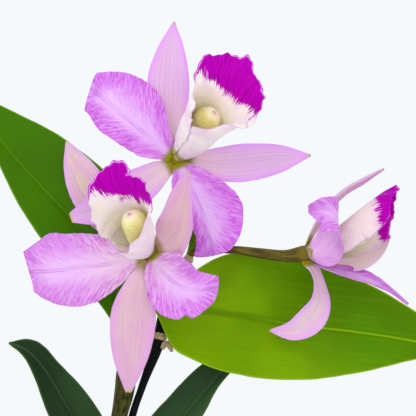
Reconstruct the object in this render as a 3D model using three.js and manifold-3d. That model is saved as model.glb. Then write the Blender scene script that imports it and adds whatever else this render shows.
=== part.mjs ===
// A cattleya orchid in a round pot: three blooms on one spike, four leaves, three canes.
// Millimetres, +Z up, the pot's bottom centre at the origin, the blooms facing -Y.
import * as THREE from "three";
import { mergeVertices } from "three/addons/utils/BufferGeometryUtils.js";
import Module from "manifold-3d";

const wasm = await Module();
wasm.setup();
const { Manifold, Mesh } = wasm;

const GAP = 0.3;
const FINEST_DETAIL = 0.03;
const MERGE_DISTANCE = 0.0001;
const TANGENT_STEP = 0.001;
const NARROWEST = 0.35;
const NO_CURL = 0.0001;
const END_SHARE = 0.01;
const TOWARDS_FRONT = [[0, -1, 0]];

// ---- sizes -----------------------------------------------------------------

const SEPAL = { thickness: 0.8, rows: 10, columns: 5 };
const PETAL = { thickness: 0.7, rows: 11, columns: 7 };
const LIP = { thickness: 0.7, rows: 16, columns: 17 };
const LEAF = { thickness: 1.0, rows: 13, columns: 5 };
const SCRAP = { thickness: 0.7, rows: 4, columns: 3 };

const CANE = { rings: 14, sides: 10 };
const SPIKE = { rings: 14, sides: 10, ballSides: 12 };
const STALK = { rings: 8, sides: 8, ballSides: 12 };
const COLUMN = { rings: 7, sides: 10, ballSides: 10 };
const SHEATH = { rings: 5, sides: 10, wall: 0.8, space: 0.5, overrun: 1 };
const RHIZOME_BODY = { rings: 8, sides: 10 };
const ROOT = { rings: 5, sides: 6 };

// Waves fade in over the first third of a petal and grow towards its margins.
const WAVE_REACH = 3;
const WAVE_EDGE_POWER = 2.5;
const WAVE_SIDE_SHIFT = 2.1;

// Frills run round the lip's front, about a point part-way along it; finer folds ride on the coarse ones.
const FRILL = {
  centre: 0.45,
  length: 60,
  frontFrom: 0.6,
  frontPower: 1.6,
  sidesFrom: 0.35,
  sidesOver: 0.25,
  finerCount: 2.3,
  finerShare: 0.35,
  edgeCount: 2.6,
  edgeShare: 0.5,
};
const TIP_FROM = 0.55;
const ROUNDEST = 0.98;

// Each blade has a spine from root to tip, the way its upper face looks, its half-widths to the left
// and right of the spine, and how far its margins curl up towards that face, in degrees.
// Every list is spread evenly over the blade's length.
const BLOOM_A = {
  sepal_top: {
    spine: [[28.5, 4, 310], [26, 5, 324], [24.5, 6, 338.5], [24.5, 7, 351], [25.5, 9, 365], [27, 12, 378]],
    face: TOWARDS_FRONT,
    left: [2.5, 6.5, 10.5, 10.5, 6.5, 0.5],
    right: [2.5, 7, 10, 10, 6.5, 0.5],
    curl: [25, 25, 20, 15, 15, 20],
  },
  sepal_right: {
    spine: [[31.5, 4, 308.5], [42.5, 5, 306.5], [54, 6, 306], [65, 7, 307], [80.5, 9, 309], [96, 12, 310.5]],
    face: TOWARDS_FRONT,
    left: [2.5, 7, 9.5, 9.5, 7, 0.5],
    right: [2.5, 7, 9, 9.5, 7, 0.5],
    curl: [25, 25, 20, 15, 15, 20],
  },
  sepal_low: {
    spine: [[27, 5, 306], [19, 4, 301.5], [10, 2, 295], [-1.5, 0, 288], [-13, -2, 283], [-24.5, -4, 279]],
    face: TOWARDS_FRONT,
    left: [2.5, 6.5, 9, 9.5, 8, 2.5],
    right: [2.5, 6.5, 9.5, 10, 7.5, 2.5],
    curl: [25, 25, 20, 15, 15, 20],
  },
  petal_left: {
    spine: [[26, 3, 309.5], [17.5, 1, 317], [8.5, 0, 324.5], [-0.5, 0, 332], [-8, 1, 338.5], [-15, 3, 344]],
    face: [[0.05, -1, 0.1]],
    left: [3, 9.8, 12.4, 13.3, 11.8, 10.5],
    right: [3, 11, 18.6, 20.6, 17.2, 8.8],
    curl: [30, 25, 10, -5, -10, -5],
    wave: { height: 1, count: 1.6, phase: 0.4 },
    tip: { slant: 4, round: 1.5 },
  },
  petal_low: {
    spine: [[29.5, 3, 306.5], [33.5, 1, 298], [38, 0, 289], [41.5, 0, 280], [44.5, 1, 270], [46.5, 3, 260]],
    face: [[0, -1, 0.05]],
    left: [3, 10.8, 17.3, 20.4, 17.4, 9.5],
    right: [3, 8.5, 10, 9, 6.5, 9],
    curl: [30, 25, 15, 10, 0, 0],
    wave: { height: 1, count: 1.6, phase: 2.4 },
    tip: { slant: 0, round: 2 },
  },
  lip: {
    spine: [
      [31, 6, 311.5], [38, 1, 317.5], [44.5, -5, 324.5], [50.6, -12, 331.6],
      [55, -18, 339.6], [58.5, -21, 348.8], [62.5, -19, 358.3],
    ],
    face: [[-0.45, -1, -0.1], [-0.45, -1, -0.1], [-0.45, -1, -0.1], [-0.1, -1, -0.3], [-0.1, -1, -0.2]],
    left: [12, 18, 24.5, 28.5, 32.5, 33.5, 34.8, 35.5, 37, 26.5, 23, 17, 8],
    right: [12, 18, 24.5, 28.3, 31.2, 33.6, 36, 36.5, 36.8, 21, 13.7, 8, 4.5],
    curl: [172, 176, 178, 178.5, 178.5, 178, 172, 157, 137, 73, 33, 12, 0],
    tip: { slant: 0, round: 2.5 },
    ruffle: { height: 1.5, count: 7, phase: 0.5 },
  },
};

const BLOOM_B = {
  sepal_left: {
    spine: [[14, -9, 263.5], [4, -1, 272], [-7, 6, 282], [-15.5, 10, 294], [-22, 12, 306], [-27.5, 13, 318]],
    face: TOWARDS_FRONT,
    left: [2.5, 7.5, 10.5, 11, 7.5, 0.5],
    right: [2.5, 7, 9.5, 9.5, 6.5, 0.5],
    curl: [25, 25, 20, 15, 15, 20],
  },
  sepal_right: {
    spine: [
      [18.5, -11, 264.5], [24, -15, 268], [28.5, -19, 274],
      [30.5, -22, 282], [32.5, -24, 291.5], [34.5, -25, 302],
    ],
    face: [[-0.25, -1, 0]],
    left: [2.5, 8.5, 10.5, 8.5, 6.5, 1],
    right: [3, 12, 9.3, 7, 4, 0.5],
    curl: [40, 35, 30, 30, 30, 20],
  },
  sepal_low: {
    spine: [
      [14.5, -11, 257.5], [10, -13, 246], [7.5, -15, 233.5],
      [6.5, -15, 221.5], [5.5, -13, 208], [4.5, -9, 192.5],
    ],
    face: TOWARDS_FRONT,
    left: [2.5, 7, 11, 11, 8, 1.5],
    right: [2.5, 7, 11, 11, 8, 1.5],
    curl: [25, 25, 20, 15, 15, 20],
  },
  petal_left: {
    spine: [
      [12, -11.5, 259], [0.5, -9, 257], [-11, -8, 255.5],
      [-23, -7, 254], [-34.5, -4, 252.5], [-45.5, 0, 252],
    ],
    face: [[0.1, -1, 0.05]],
    left: [3, 10, 17.2, 19.3, 16.6, 9.8],
    right: [3, 10.5, 15.5, 17.6, 18.2, 10.5],
    curl: [20, 15, 8, -5, -10, -10],
    wave: { height: 1.2, count: 1.6, phase: 0.8 },
    tip: { slant: 3, round: -1 },
  },
  petal_right: {
    spine: [[17, -12, 260], [21, -17, 253.5], [28, -23, 247], [36.5, -28, 244], [49, -31, 245]],
    face: [[-0.3, -0.9, 0.25]],
    left: [3, 13.3, 12.4, 10.6, 6.5],
    right: [3, 9.8, 16.6, 15, 7.6],
    curl: [30, 30, 20, 10, 0],
    wave: { height: 1.4, count: 2.2, phase: 1 },
    tip: { slant: -1, round: 2 },
  },
  lip: {
    spine: [
      [16, -4, 263.5], [15.8, -10, 269], [14.2, -17, 277], [9, -24, 284.5],
      [4.5, -30, 290.5], [1, -35, 298], [0, -38, 307],
    ],
    face: [
      [-0.9, -0.3, -0.4], [-0.8, -0.3, -0.5], [-0.6, -0.55, -0.55],
      [-0.35, -0.75, -0.55], [-0.15, -0.9, -0.2], [0, -1, 0],
    ],
    left: [11.5, 18, 24, 25.5, 25.5, 25.5, 25.5, 25.5, 24.6, 22.3, 16.8, 9.5, 5],
    right: [11.5, 18, 24, 29.5, 32, 33, 33.5, 33, 29.5, 16.6, 10, 6.5, 4],
    curl: [165, 165, 160, 152, 144, 134, 130, 121, 98, 60, 42, 20, 0],
    tip: { slant: 0, round: 1.5 },
    ruffle: { height: 1.5, count: 7, phase: 1.9 },
  },
};

const BLOOM_C = {
  sepal_top: {
    spine: [[93, 3, 265], [98, 5, 276], [105.3, 6, 286.5], [113.3, 7, 293.6], [122.3, 8, 298.6], [132.5, 8, 304]],
    face: [[0.9, -0.3, -0.3], [0.75, -0.25, -0.6], [0.65, -0.2, -0.7], [0.65, -0.2, -0.7]],
    left: [2.5, 5.8, 6.2, 5.6, 4.8, 1.8],
    right: [2.5, 5.8, 6.2, 5.6, 4.8, 1.8],
    curl: [20, 28, 32, 34, 36, 30],
  },
  sepal_far: {
    spine: [
      [94, 5, 260], [103, 9, 257], [113, 12, 256.5],
      [122.5, 13, 259], [130.5, 12, 264], [136, 9, 270],
    ],
    face: [[-0.1, -0.8, 0.6]],
    left: [2.5, 7, 8.5, 8.5, 6, 0.5],
    right: [2.5, 7, 8.5, 8.5, 6, 0.5],
    curl: [30, 35, 35, 30, 30, 20],
  },
  sepal_low: {
    spine: [
      [93, 1, 257.5], [96.5, -1, 252.5], [99, -4, 245], [99, -6, 236],
      [94, -7, 228], [86, -7, 223], [74.5, -6, 223],
    ],
    face: [[0.7, -0.7, 0], [0.9, -0.5, 0], [0.3, -0.95, -0.1], [0.1, -1, -0.2]],
    left: [4, 6, 7.5, 7.5, 7.5, 5, 0.5],
    right: [3.5, 5.5, 7.5, 7.5, 7.5, 5.5, 0.5],
    curl: [20, 20, 20, 20, 20, 20],
  },
  petal_near: {
    spine: [
      [94, 0, 260.5], [101.5, -6, 263], [107, -13, 270],
      [107.5, -20, 279], [101, -24, 283.5], [93, -26, 283.5],
    ],
    face: [
      [0.2, 0.95, 0.2], [0.65, 0.7, 0], [0.92, 0.37, 0],
      [1, -0.2, 0.1], [0.4, -0.85, 0.15], [0, -1, 0.2],
    ],
    left: [3, 9, 11, 11, 10.5, 2],
    right: [3, 12, 15, 12.5, 6.5, 1.5],
    curl: [20, 20, 10, 0, -10, -5],
  },
  petal_far: {
    spine: [
      [95, 2, 257], [105, 1, 253.5], [115, 0, 250.5],
      [125, 0, 247.5], [134.5, -1, 243], [144, -2, 236],
    ],
    face: [[0.3, -0.25, 0.85]],
    left: [3, 7, 11, 10, 4.5, 1.5],
    right: [3, 9, 14, 12.5, 5.5, 3],
    curl: [20, 20, 20, 20, 10, 10],
  },
  lip: {
    spine: [
      [93, 3, 264.5], [101.5, 3, 269.5], [110, 2, 275], [118, 1, 281.5],
      [125.5, 0, 287.3], [131.8, -1, 291.8], [138, -2, 295.2],
    ],
    face: [[0.45, -0.2, -0.85]],
    left: [11, 17, 20, 22.3, 22, 18.5, 8],
    right: [11, 21, 26, 28.5, 20, 16, 8],
    curl: [165, 165, 142, 135, 105, 96, 65],
    tip: { slant: 0, round: 5 },
    ruffle: { height: 1.5, count: 7, phase: 2.9 },
  },
};

const LEAVES = {
  leaf_right: {
    spine: [
      [18.5, 14, 237.5], [40, 18, 232.5], [65.5, 22, 228.5], [91, 26, 224],
      [116.5, 29, 221], [142.5, 32, 217], [169.5, 36, 211.5],
    ],
    face: [[0, -1, 0.1]],
    left: [2.5, 15, 25, 31, 32.5, 33, 32.3, 30, 27, 23, 17.5, 11, 0.5],
    right: [8, 22.5, 26.4, 29.3, 30.1, 29.8, 28.2, 26, 22.8, 18.6, 13.4, 7.5, 0.5],
    curl: [40, 20, 10, 8, 8, 8, 8],
  },
  leaf_left: {
    spine: [
      [5, 10, 214], [-3.5, 17, 239], [-14, 24, 260.5], [-26.5, 30, 279],
      [-42.5, 35, 296], [-61, 41, 316.5], [-83, 48, 346.5],
    ],
    face: [[0.1, -1, 0.1]],
    left: [1.5, 8.8, 16.2, 18.6, 15, 7.5, 0.5],
    right: [2.5, 18, 25, 29, 27, 19.6, 0.5],
    curl: [40, 25, 15, 10, 8, 8, 8],
  },
  leaf_low_left: {
    spine: [
      [-1.5, 20, 134], [-11, 16, 152], [-19, 11, 169], [-28, 5, 186.5],
      [-37, 0, 202.5], [-45.5, -4, 212.5], [-55, -6, 217],
    ],
    face: [[0.3, -1, 0.1], [0.25, -1, 0.2], [0, -1, 0.5]],
    left: [2.5, 10, 13, 11, 7.5, 4, 0.5],
    right: [2.5, 10, 13, 11.8, 7.6, 6.6, 0.5],
    curl: [40, 30, 25, 20, 20, 15, 15],
  },
  leaf_low_right: {
    spine: [
      [0.5, 20, 133.5], [10.5, 24, 151], [22, 28, 166.5], [35, 32, 181.5],
      [46, 36, 194.5], [57.5, 39, 206.5], [65.5, 41, 216],
    ],
    face: [[-0.3, -1, 0.1], [-0.2, -1, 0.2], [0, -1, 0.3]],
    left: [2.5, 10, 12.5, 12, 10.5, 6.5, 0.5],
    right: [2.5, 10, 11, 8.2, 4.5, 3, 0.5],
    curl: [40, 30, 25, 20, 20, 15, 15],
  },
};

// Round stems: a centre line and the radius along it.
const STEMS = {
  cane_flowering: {
    line: [
      [-2.5, 4, 82], [-1, 7, 132], [4.5, 9, 173], [11, 10, 194.5],
      [18.6, 12, 215], [21, 14.5, 227.5], [22.5, 15.5, 236],
    ],
    radius: [3.5, 2.4, 1.9, 1.9, 3, 2.8, 2],
  },
  cane_second: {
    line: [
      [-14, -4, 82], [-10, 0, 128], [-4, 4, 162.5], [-0.5, 6, 179.5],
      [2, 7, 191.5], [3.5, 8, 203.5], [5, 9, 213.5],
    ],
    radius: [3.4, 4, 3.9, 4, 4.9, 5, 2.5],
  },
  cane_third: {
    line: [[8.5, 14, 82], [6, 18, 106], [2.5, 20, 121], [-0.5, 20, 135]],
    radius: [3.6, 4.2, 4.2, 3],
  },
  flower_spike: {
    line: [
      [22, 12, 233.5], [28, 14, 246.5], [35, 14, 260.5], [36.5, 14, 273],
      [35, 13, 288], [31.5, 10, 300.5], [29, 5, 309.5],
    ],
    radius: [2, 2, 1.9, 1.8, 2.2, 3, 4.3],
  },
  bloom_b_stalk: {
    line: [[32, 13, 253.5], [28, 6, 256.5], [23, -1, 259.5], [15.5, -8, 262.5]],
    radius: [1.7, 2.1, 2.8, 5.4],
  },
  bloom_c_stalk: {
    line: [[35, 13, 261], [46, 10, 263], [58.5, 8, 262.8], [71, 6, 261.2], [82.5, 4, 260], [92, 3, 260.8]],
    radius: [1.7, 1.9, 2, 2.5, 2.9, 4.3],
  },
};
const COLUMNS = {
  a: { line: [[29, 2, 309.5], [36, -8, 318.5], [43.5, -17, 327.5]], radius: [2.4, 4.2, 6.6] },
  b: { line: [[14.5, -8, 262], [9.5, -19, 268], [8, -30, 277]], radius: [2.4, 4.2, 6.3] },
  c: { line: [[93.5, 2, 262.5], [106, 2, 266], [118, 1, 270]], radius: [2.4, 3.6, 5.5] },
};

const RHIZOME = {
  line: [[-27, -14, 83], [-14, -4, 84.5], [-2.5, 4, 85], [8.5, 14, 84.5], [19, 23, 82]],
  radius: [3.5, 5.5, 5.8, 5.6, 3.5],
};
const ROOTS = [
  { line: [[-16, -8, 84], [-24, -20, 85], [-30, -29, 78]], radius: [2, 1.8, 1.2] },
  { line: [[-6, 2, 85], [-16, 12, 86], [-24, 20, 78]], radius: [2, 1.8, 1.2] },
  { line: [[4, 8, 85], [13, 0, 86], [22, -9, 78]], radius: [2, 1.8, 1.2] },
  { line: [[10, 16, 84], [4, 27, 85], [-1, 34, 78]], radius: [2, 1.8, 1.2] },
];

// Dry sheaths: which cane each one wraps, and over which share of its length.
const SHEATHS = {
  sheath_flowering: { cane: "cane_flowering", from: 0.03, to: 0.13 },
  sheath_second: { cane: "cane_second", from: 0.03, to: 0.16 },
  sheath_third: { cane: "cane_third", from: 0.12, to: 0.5 },
};
const SHEATH_SCRAP = {
  spine: [[20.8, 9.5, 213], [22.6, 8.8, 215.5], [24.8, 8.6, 214.5], [25.8, 8.6, 211.5]],
  face: [[0.2, -1, 0.3]],
  left: [1, 1.7, 1.6, 0.8],
  right: [1, 1.7, 1.6, 0.8],
  curl: [20, 20, 10, 10],
};

const POT = {
  bottomRadius: 42,
  shoulderRadius: 53.5,
  rimRadius: 57.5,
  mouthRadius: 51.5,
  height: 95,
  rimHeight: 15,
  wall: 4,
  floor: 6,
  bevel: 1.5,
};
const POT_SEGMENTS = 36;
const MEDIUM_TOP = 82.5;
const CHIPS = { count: 34, reach: 44, length: 15, width: 9.5, thickness: 3.4, tilt: 24, lift: 0.3, seed: 12 };
const GOLDEN_ANGLE = 137.5;

// ---- solids ----------------------------------------------------------------

// Catmull-Rom value at share s of an evenly spread list; s may run a little past either end.
function spline(list, s) {
  const last = list.length - 1;
  if (last === 0) return list[0];
  const cell = Math.min(Math.max(Math.floor(s * last), 0), last - 1);
  const f = s * last - cell;
  const before = cell > 0 ? list[cell - 1] : 2 * list[0] - list[1];
  const after = cell + 2 <= last ? list[cell + 2] : 2 * list[last] - list[last - 1];
  const [from, to] = [list[cell], list[cell + 1]];
  const linear = (to - before) * f;
  const square = (2 * before - 5 * from + 4 * to - after) * f * f;
  const cube = (3 * from - before - 3 * to + after) * f * f * f;
  return 0.5 * (2 * from + linear + square + cube);
}

function splinePoint(points, s) {
  const [x, y, z] = [0, 1, 2].map((k) => spline(points.map((point) => point[k]), s));
  return new THREE.Vector3(x, y, z);
}

function tangent(points, s) {
  return splinePoint(points, s + TANGENT_STEP).sub(splinePoint(points, s - TANGENT_STEP)).normalize();
}

const degrees = THREE.MathUtils.degToRad;
const clamp01 = (x) => Math.min(Math.max(x, 0), 1);

function solid(positions, triangles) {
  const geometry = new THREE.BufferGeometry().setFromPoints(positions);
  geometry.setIndex(triangles.flat());
  return solidOf(geometry);
}

// A closed geometry as a solid: like vertices merged, collapsed faces dropped, faces pointing out.
function solidOf(geometry) {
  geometry.deleteAttribute("normal");
  geometry.deleteAttribute("uv");
  const merged = mergeVertices(geometry, MERGE_DISTANCE);
  const index = merged.index.array;
  const faces = [];
  for (let k = 0; k < index.length; k += 3) {
    const [a, b, c] = index.slice(k, k + 3);
    if (a !== b && b !== c && c !== a) faces.push([a, b, c]);
  }
  const vertProperties = merged.getAttribute("position").array;
  const build = (list) => {
    const triVerts = new Uint32Array(list.flat());
    return new Manifold(new Mesh({ numProp: 3, vertProperties, triVerts }));
  };
  const made = build(faces);
  return made.volume() > 0 ? made : build(faces.map(([a, b, c]) => [a, c, b]));
}

// How far the blade's surface stands off its plain curled form, and how far it runs on past it:
// the wavy margins of petals, and the frilled front and sides of lips.
function waviness(form, s, v, u) {
  let lift = 0;
  let stretch = 0;
  if (form.wave) {
    const { height, count, phase } = form.wave;
    const edge = Math.abs(v) ** WAVE_EDGE_POWER * clamp01(s * WAVE_REACH);
    const shift = v < 0 ? WAVE_SIDE_SHIFT : 0;
    lift += height * edge * Math.sin(2 * Math.PI * count * s + phase + shift);
  }
  if (form.ruffle) {
    const { height, count, phase } = form.ruffle;
    const angle = Math.atan2(u, (s - FRILL.centre) * FRILL.length);
    const front = clamp01((s - FRILL.frontFrom) / (1 - FRILL.frontFrom)) ** FRILL.frontPower;
    const side = v ** 4 * clamp01((s - FRILL.sidesFrom) / FRILL.sidesOver);
    const coarse = Math.sin(count * angle + phase);
    const finer = Math.sin(FRILL.finerCount * count * angle + 1.3 * phase);
    lift += height * Math.max(front, side) * (coarse + FRILL.finerShare * finer);
    stretch += FRILL.edgeShare * height * front ** 2 * Math.sin(FRILL.edgeCount * count * angle + phase);
  }
  return [lift, stretch];
}

// A thin curved blade; grow makes it thicker, wider and a little longer, to cut a gap beside it.
function blade(form, kind, grow = 0) {
  const { rows, columns, thickness } = kind;
  const grid = [];
  for (let i = 0; i < rows; i += 1) {
    const beyond = grow > 0 ? END_SHARE : 0;
    const s = -beyond + ((1 + 2 * beyond) * i) / (rows - 1);
    const centre = splinePoint(form.spine, s);
    const along = tangent(form.spine, s);
    const face = splinePoint(form.face, s);
    face.addScaledVector(along, -face.dot(along)).normalize();
    const across = along.clone().cross(face);
    const left = Math.max(spline(form.left, s), NARROWEST) + grow;
    const right = Math.max(spline(form.right, s), NARROWEST) + grow;
    const curl = degrees(spline(form.curl, s)) + NO_CURL;
    const bend = curl / ((left + right) / 2);
    const towardsTip = clamp01((s - TIP_FROM) / (1 - TIP_FROM)) ** 2;
    for (let j = 0; j < columns; j += 1) {
      const v = (2 * j) / (columns - 1) - 1;
      const u = v < 0 ? v * left : v * right;
      const [lift, stretch] = waviness(form, s, v, u);
      const sideways = Math.sin(bend * u) / bend - lift * Math.sin(bend * u);
      const upwards = (1 - Math.cos(bend * u)) / bend + lift * Math.cos(bend * u);
      let forwards = stretch;
      if (form.tip) {
        const rounding = form.tip.round * (1 - Math.sqrt(1 - ROUNDEST * v * v));
        forwards += (form.tip.slant * v - rounding) * towardsTip;
      }
      const point = centre.clone().addScaledVector(across, sideways);
      point.addScaledVector(face, upwards).addScaledVector(along, forwards);
      grid.push(point);
    }
  }
  return thicken(grid, rows, columns, thickness + 2 * grow);
}

function thicken(grid, rows, columns, thickness) {
  const at = (i, j) => i * columns + j;
  const normalAt = (i, j) => {
    const down = grid[at(Math.min(i + 1, rows - 1), j)].clone().sub(grid[at(Math.max(i - 1, 0), j)]);
    const over = grid[at(i, Math.min(j + 1, columns - 1))].clone().sub(grid[at(i, Math.max(j - 1, 0))]);
    return over.cross(down).normalize();
  };
  const upper = [];
  const lower = [];
  for (let i = 0; i < rows; i += 1) {
    for (let j = 0; j < columns; j += 1) {
      const normal = normalAt(i, j);
      upper.push(grid[at(i, j)].clone().addScaledVector(normal, thickness / 2));
      lower.push(grid[at(i, j)].clone().addScaledVector(normal, -thickness / 2));
    }
  }
  const under = rows * columns;
  const triangles = [];
  const quad = (a, b, c, d) => triangles.push([a, b, c], [a, c, d]);
  for (let i = 0; i < rows - 1; i += 1) {
    for (let j = 0; j < columns - 1; j += 1) {
      const [a, b, c, d] = [at(i, j), at(i, j + 1), at(i + 1, j + 1), at(i + 1, j)];
      quad(a, b, c, d);
      triangles.push([a + under, c + under, b + under], [a + under, d + under, c + under]);
    }
    const [near, far] = [at(i, columns - 1), at(i + 1, columns - 1)];
    quad(at(i, 0), at(i + 1, 0), at(i + 1, 0) + under, at(i, 0) + under);
    quad(near, near + under, far + under, far);
  }
  for (let j = 0; j < columns - 1; j += 1) {
    const [near, far] = [at(rows - 1, j), at(rows - 1, j + 1)];
    quad(at(0, j), at(0, j) + under, at(0, j + 1) + under, at(0, j + 1));
    quad(near, far, far + under, near + under);
  }
  return solid([...upper, ...lower], triangles);
}

// A round stem along a centre line, its end rounded by a ball if its kind has one; grow makes it
// thicker and longer, to cut a gap around it.
function stem(form, kind, grow = 0) {
  const made = tube(form, kind, grow);
  if (!kind.ballSides) return made;
  const sphere = new THREE.SphereGeometry(form.radius.at(-1) + grow, kind.ballSides, kind.ballSides / 2);
  return made.add(solidOf(sphere.translate(...form.line.at(-1))));
}

// A round tube from share `from` to share `to` of a centre line, and `overrun` past both ends.
function tube({ line, radius }, { rings, sides }, grow, from = 0, to = 1, overrun = grow) {
  const positions = [];
  const triangles = [];
  for (let i = 0; i < rings; i += 1) {
    const s = from + ((to - from) * i) / (rings - 1);
    const along = tangent(line, s);
    const side = along.clone().cross(new THREE.Vector3(0, 1, 0)).normalize();
    const up = side.clone().cross(along);
    const r = spline(radius, s) + grow;
    const centre = splinePoint(line, s);
    if (i === 0) centre.addScaledVector(along, -overrun);
    if (i === rings - 1) centre.addScaledVector(along, overrun);
    for (let j = 0; j < sides; j += 1) {
      const turn = (2 * Math.PI * j) / sides;
      const point = centre.clone().addScaledVector(side, r * Math.cos(turn));
      positions.push(point.addScaledVector(up, r * Math.sin(turn)));
    }
  }
  for (let i = 0; i < rings - 1; i += 1) {
    for (let j = 0; j < sides; j += 1) {
      const k = (j + 1) % sides;
      const [a, b, c, d] = [i * sides + j, (i + 1) * sides + j, (i + 1) * sides + k, i * sides + k];
      triangles.push([a, b, c], [a, c, d]);
    }
  }
  const end = (rings - 1) * sides;
  for (let j = 1; j < sides - 1; j += 1) {
    triangles.push([0, j, j + 1], [end, end + j + 1, end + j]);
  }
  return solid(positions, triangles);
}

function largest(made) {
  const pieces = made.decompose();
  return pieces.reduce((best, piece) => (piece.volume() > best.volume() ? piece : best));
}

function cut(made, cutters) {
  return largest(cutters.reduce((left, cutter) => left.subtract(cutter), made));
}

function join(solidsToJoin) {
  return solidsToJoin.reduce((whole, piece) => whole.add(piece));
}

// A profile of [radius, height] pairs turned about the upright axis.
function turned(profile) {
  const outline = profile.map(([radius, height]) => new THREE.Vector2(radius, height));
  return solidOf(new THREE.LatheGeometry(outline, POT_SEGMENTS).rotateX(Math.PI / 2));
}

// ---- assembly --------------------------------------------------------------

const MATERIALS = {
  sepal: { color: "#e3b8e5", roughness: 0.55, metalness: 0 },
  petal: { color: "#e8adfa", roughness: 0.55, metalness: 0 },
  lip: { color: "#b505b0", roughness: 0.6, metalness: 0 },
  column: { color: "#d8d091", roughness: 0.4, metalness: 0 },
  stalk: { color: "#5c5430", roughness: 0.45, metalness: 0 },
  leaf: { color: "#599003", roughness: 0.4, metalness: 0 },
  darkLeaf: { color: "#233620", roughness: 0.45, metalness: 0 },
  darkCane: { color: "#1c201e", roughness: 0.5, metalness: 0 },
  oliveCane: { color: "#575228", roughness: 0.5, metalness: 0 },
  root: { color: "#8a7a55", roughness: 0.8, metalness: 0 },
  sheath: { color: "#a88c59", roughness: 0.8, metalness: 0 },
  medium: { color: "#5a3a22", roughness: 0.9, metalness: 0 },
  pot: { color: "#b5653c", roughness: 0.8, metalness: 0 },
};

const plant = new THREE.Group();
plant.name = "cattleya_orchid";

function add(name, rough, material) {
  const { vertProperties, triVerts, numProp } = largest(rough.simplify(FINEST_DETAIL)).getMesh();
  const geometry = new THREE.BufferGeometry();
  const positions = new Float32Array(triVerts.length * 3);
  triVerts.forEach((vertex, k) => {
    for (let axis = 0; axis < 3; axis += 1) positions[3 * k + axis] = vertProperties[vertex * numProp + axis];
  });
  geometry.setAttribute("position", new THREE.BufferAttribute(positions, 3));
  geometry.computeVertexNormals();
  const mesh = new THREE.Mesh(geometry, new THREE.MeshStandardMaterial(MATERIALS[material]));
  mesh.name = name;
  plant.add(mesh);
}

// Canes first, then what stands on them.
const caneCutters = [];
for (const name of ["cane_flowering", "cane_second", "cane_third"]) {
  add(name, stem(STEMS[name], CANE), name === "cane_flowering" ? "darkCane" : "oliveCane");
  caneCutters.push(stem(STEMS[name], CANE, GAP));
}

add("flower_spike", cut(stem(STEMS.flower_spike, SPIKE), caneCutters), "stalk");
const spikeCutter = stem(STEMS.flower_spike, SPIKE, GAP);

// What each bloom stands on: the spike's end, or a stalk of its own.
const standCutters = { a: spikeCutter };
for (const letter of ["b", "c"]) {
  const form = STEMS[`bloom_${letter}_stalk`];
  add(`bloom_${letter}_stalk`, cut(stem(form, STALK), [spikeCutter]), "stalk");
  standCutters[letter] = stem(form, STALK, GAP);
}

// In each bloom the lip and column lie in front, then the petals, then the sepals behind them.
const BLOOMS = { a: BLOOM_A, b: BLOOM_B, c: BLOOM_C };
const KINDS = { lip: LIP, petal: PETAL, sepal: SEPAL };
for (const [letter, bloom] of Object.entries(BLOOMS)) {
  const cutters = [standCutters[letter]];
  for (const group of ["lip", "column", "petal", "sepal"]) {
    if (group === "column") {
      add(`bloom_${letter}_column`, cut(stem(COLUMNS[letter], COLUMN), cutters), "column");
      cutters.push(stem(COLUMNS[letter], COLUMN, GAP));
      continue;
    }
    for (const part of Object.keys(bloom).filter((name) => name.startsWith(group))) {
      add(`bloom_${letter}_${part}`, cut(blade(bloom[part], KINDS[group]), cutters), group);
      cutters.push(blade(bloom[part], KINDS[group], GAP));
    }
  }
}

const leafCutters = [];
for (const [name, form] of Object.entries(LEAVES)) {
  const cutters = [...caneCutters, spikeCutter, ...leafCutters];
  add(name, cut(blade(form, LEAF), cutters), name.includes("low") ? "darkLeaf" : "leaf");
  leafCutters.push(blade(form, LEAF, GAP));
}

const sheathCutters = [];
for (const [name, { cane, from, to }] of Object.entries(SHEATHS)) {
  const outside = SHEATH.space + SHEATH.wall;
  const outer = tube(STEMS[cane], SHEATH, outside, from, to);
  const bore = tube(STEMS[cane], SHEATH, SHEATH.space, from, to, outside + SHEATH.overrun);
  add(name, cut(outer, [bore]), "sheath");
  sheathCutters.push(tube(STEMS[cane], SHEATH, outside + GAP, from, to));
}
add("sheath_scrap", cut(blade(SHEATH_SCRAP, SCRAP), caneCutters), "sheath");

const rootForms = [[RHIZOME, RHIZOME_BODY], ...ROOTS.map((root) => [root, ROOT])];
const rhizome = join(rootForms.map(([form, kind]) => stem(form, kind)));
const rhizomeCutter = join(rootForms.map(([form, kind]) => stem(form, kind, GAP)));
add("rhizome", cut(rhizome, [...caneCutters, ...sheathCutters]), "root");

const { bottomRadius, shoulderRadius, rimRadius, mouthRadius, height, rimHeight, wall, floor, bevel } = POT;
const rimFoot = height - rimHeight;
add("pot", turned([
  [0, 0], [bottomRadius - bevel, 0], [bottomRadius, bevel], [shoulderRadius, rimFoot],
  [rimRadius, rimFoot + bevel], [rimRadius, height - bevel], [rimRadius - bevel, height],
  [mouthRadius, height], [shoulderRadius - wall, rimFoot], [bottomRadius - wall, floor], [0, floor],
]), "pot");

// Flat bark chips, laid round in a sunflower's pattern, each turned and tilted its own way.
function chips() {
  let state = CHIPS.seed;
  const random = () => {
    state = (state * 1103515245 + 12345) % 2147483648;
    return state / 2147483648;
  };
  const made = [];
  for (let k = 0; k < CHIPS.count; k += 1) {
    const turn = degrees(k * GOLDEN_ANGLE);
    const out = CHIPS.reach * Math.sqrt((k + 0.5) / CHIPS.count);
    const size = [CHIPS.length, CHIPS.width, CHIPS.thickness].map((edge) => edge * (0.75 + 0.5 * random()));
    const tilt = [random() - 0.5, random() - 0.5].map((share) => degrees(2 * CHIPS.tilt * share));
    const chip = new THREE.BoxGeometry(...size).rotateX(tilt[0]).rotateY(tilt[1]);
    chip.rotateZ(degrees(360 * random()));
    chip.translate(out * Math.cos(turn), out * Math.sin(turn), MEDIUM_TOP + CHIPS.lift + random());
    made.push(solidOf(chip));
  }
  return made;
}

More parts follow.
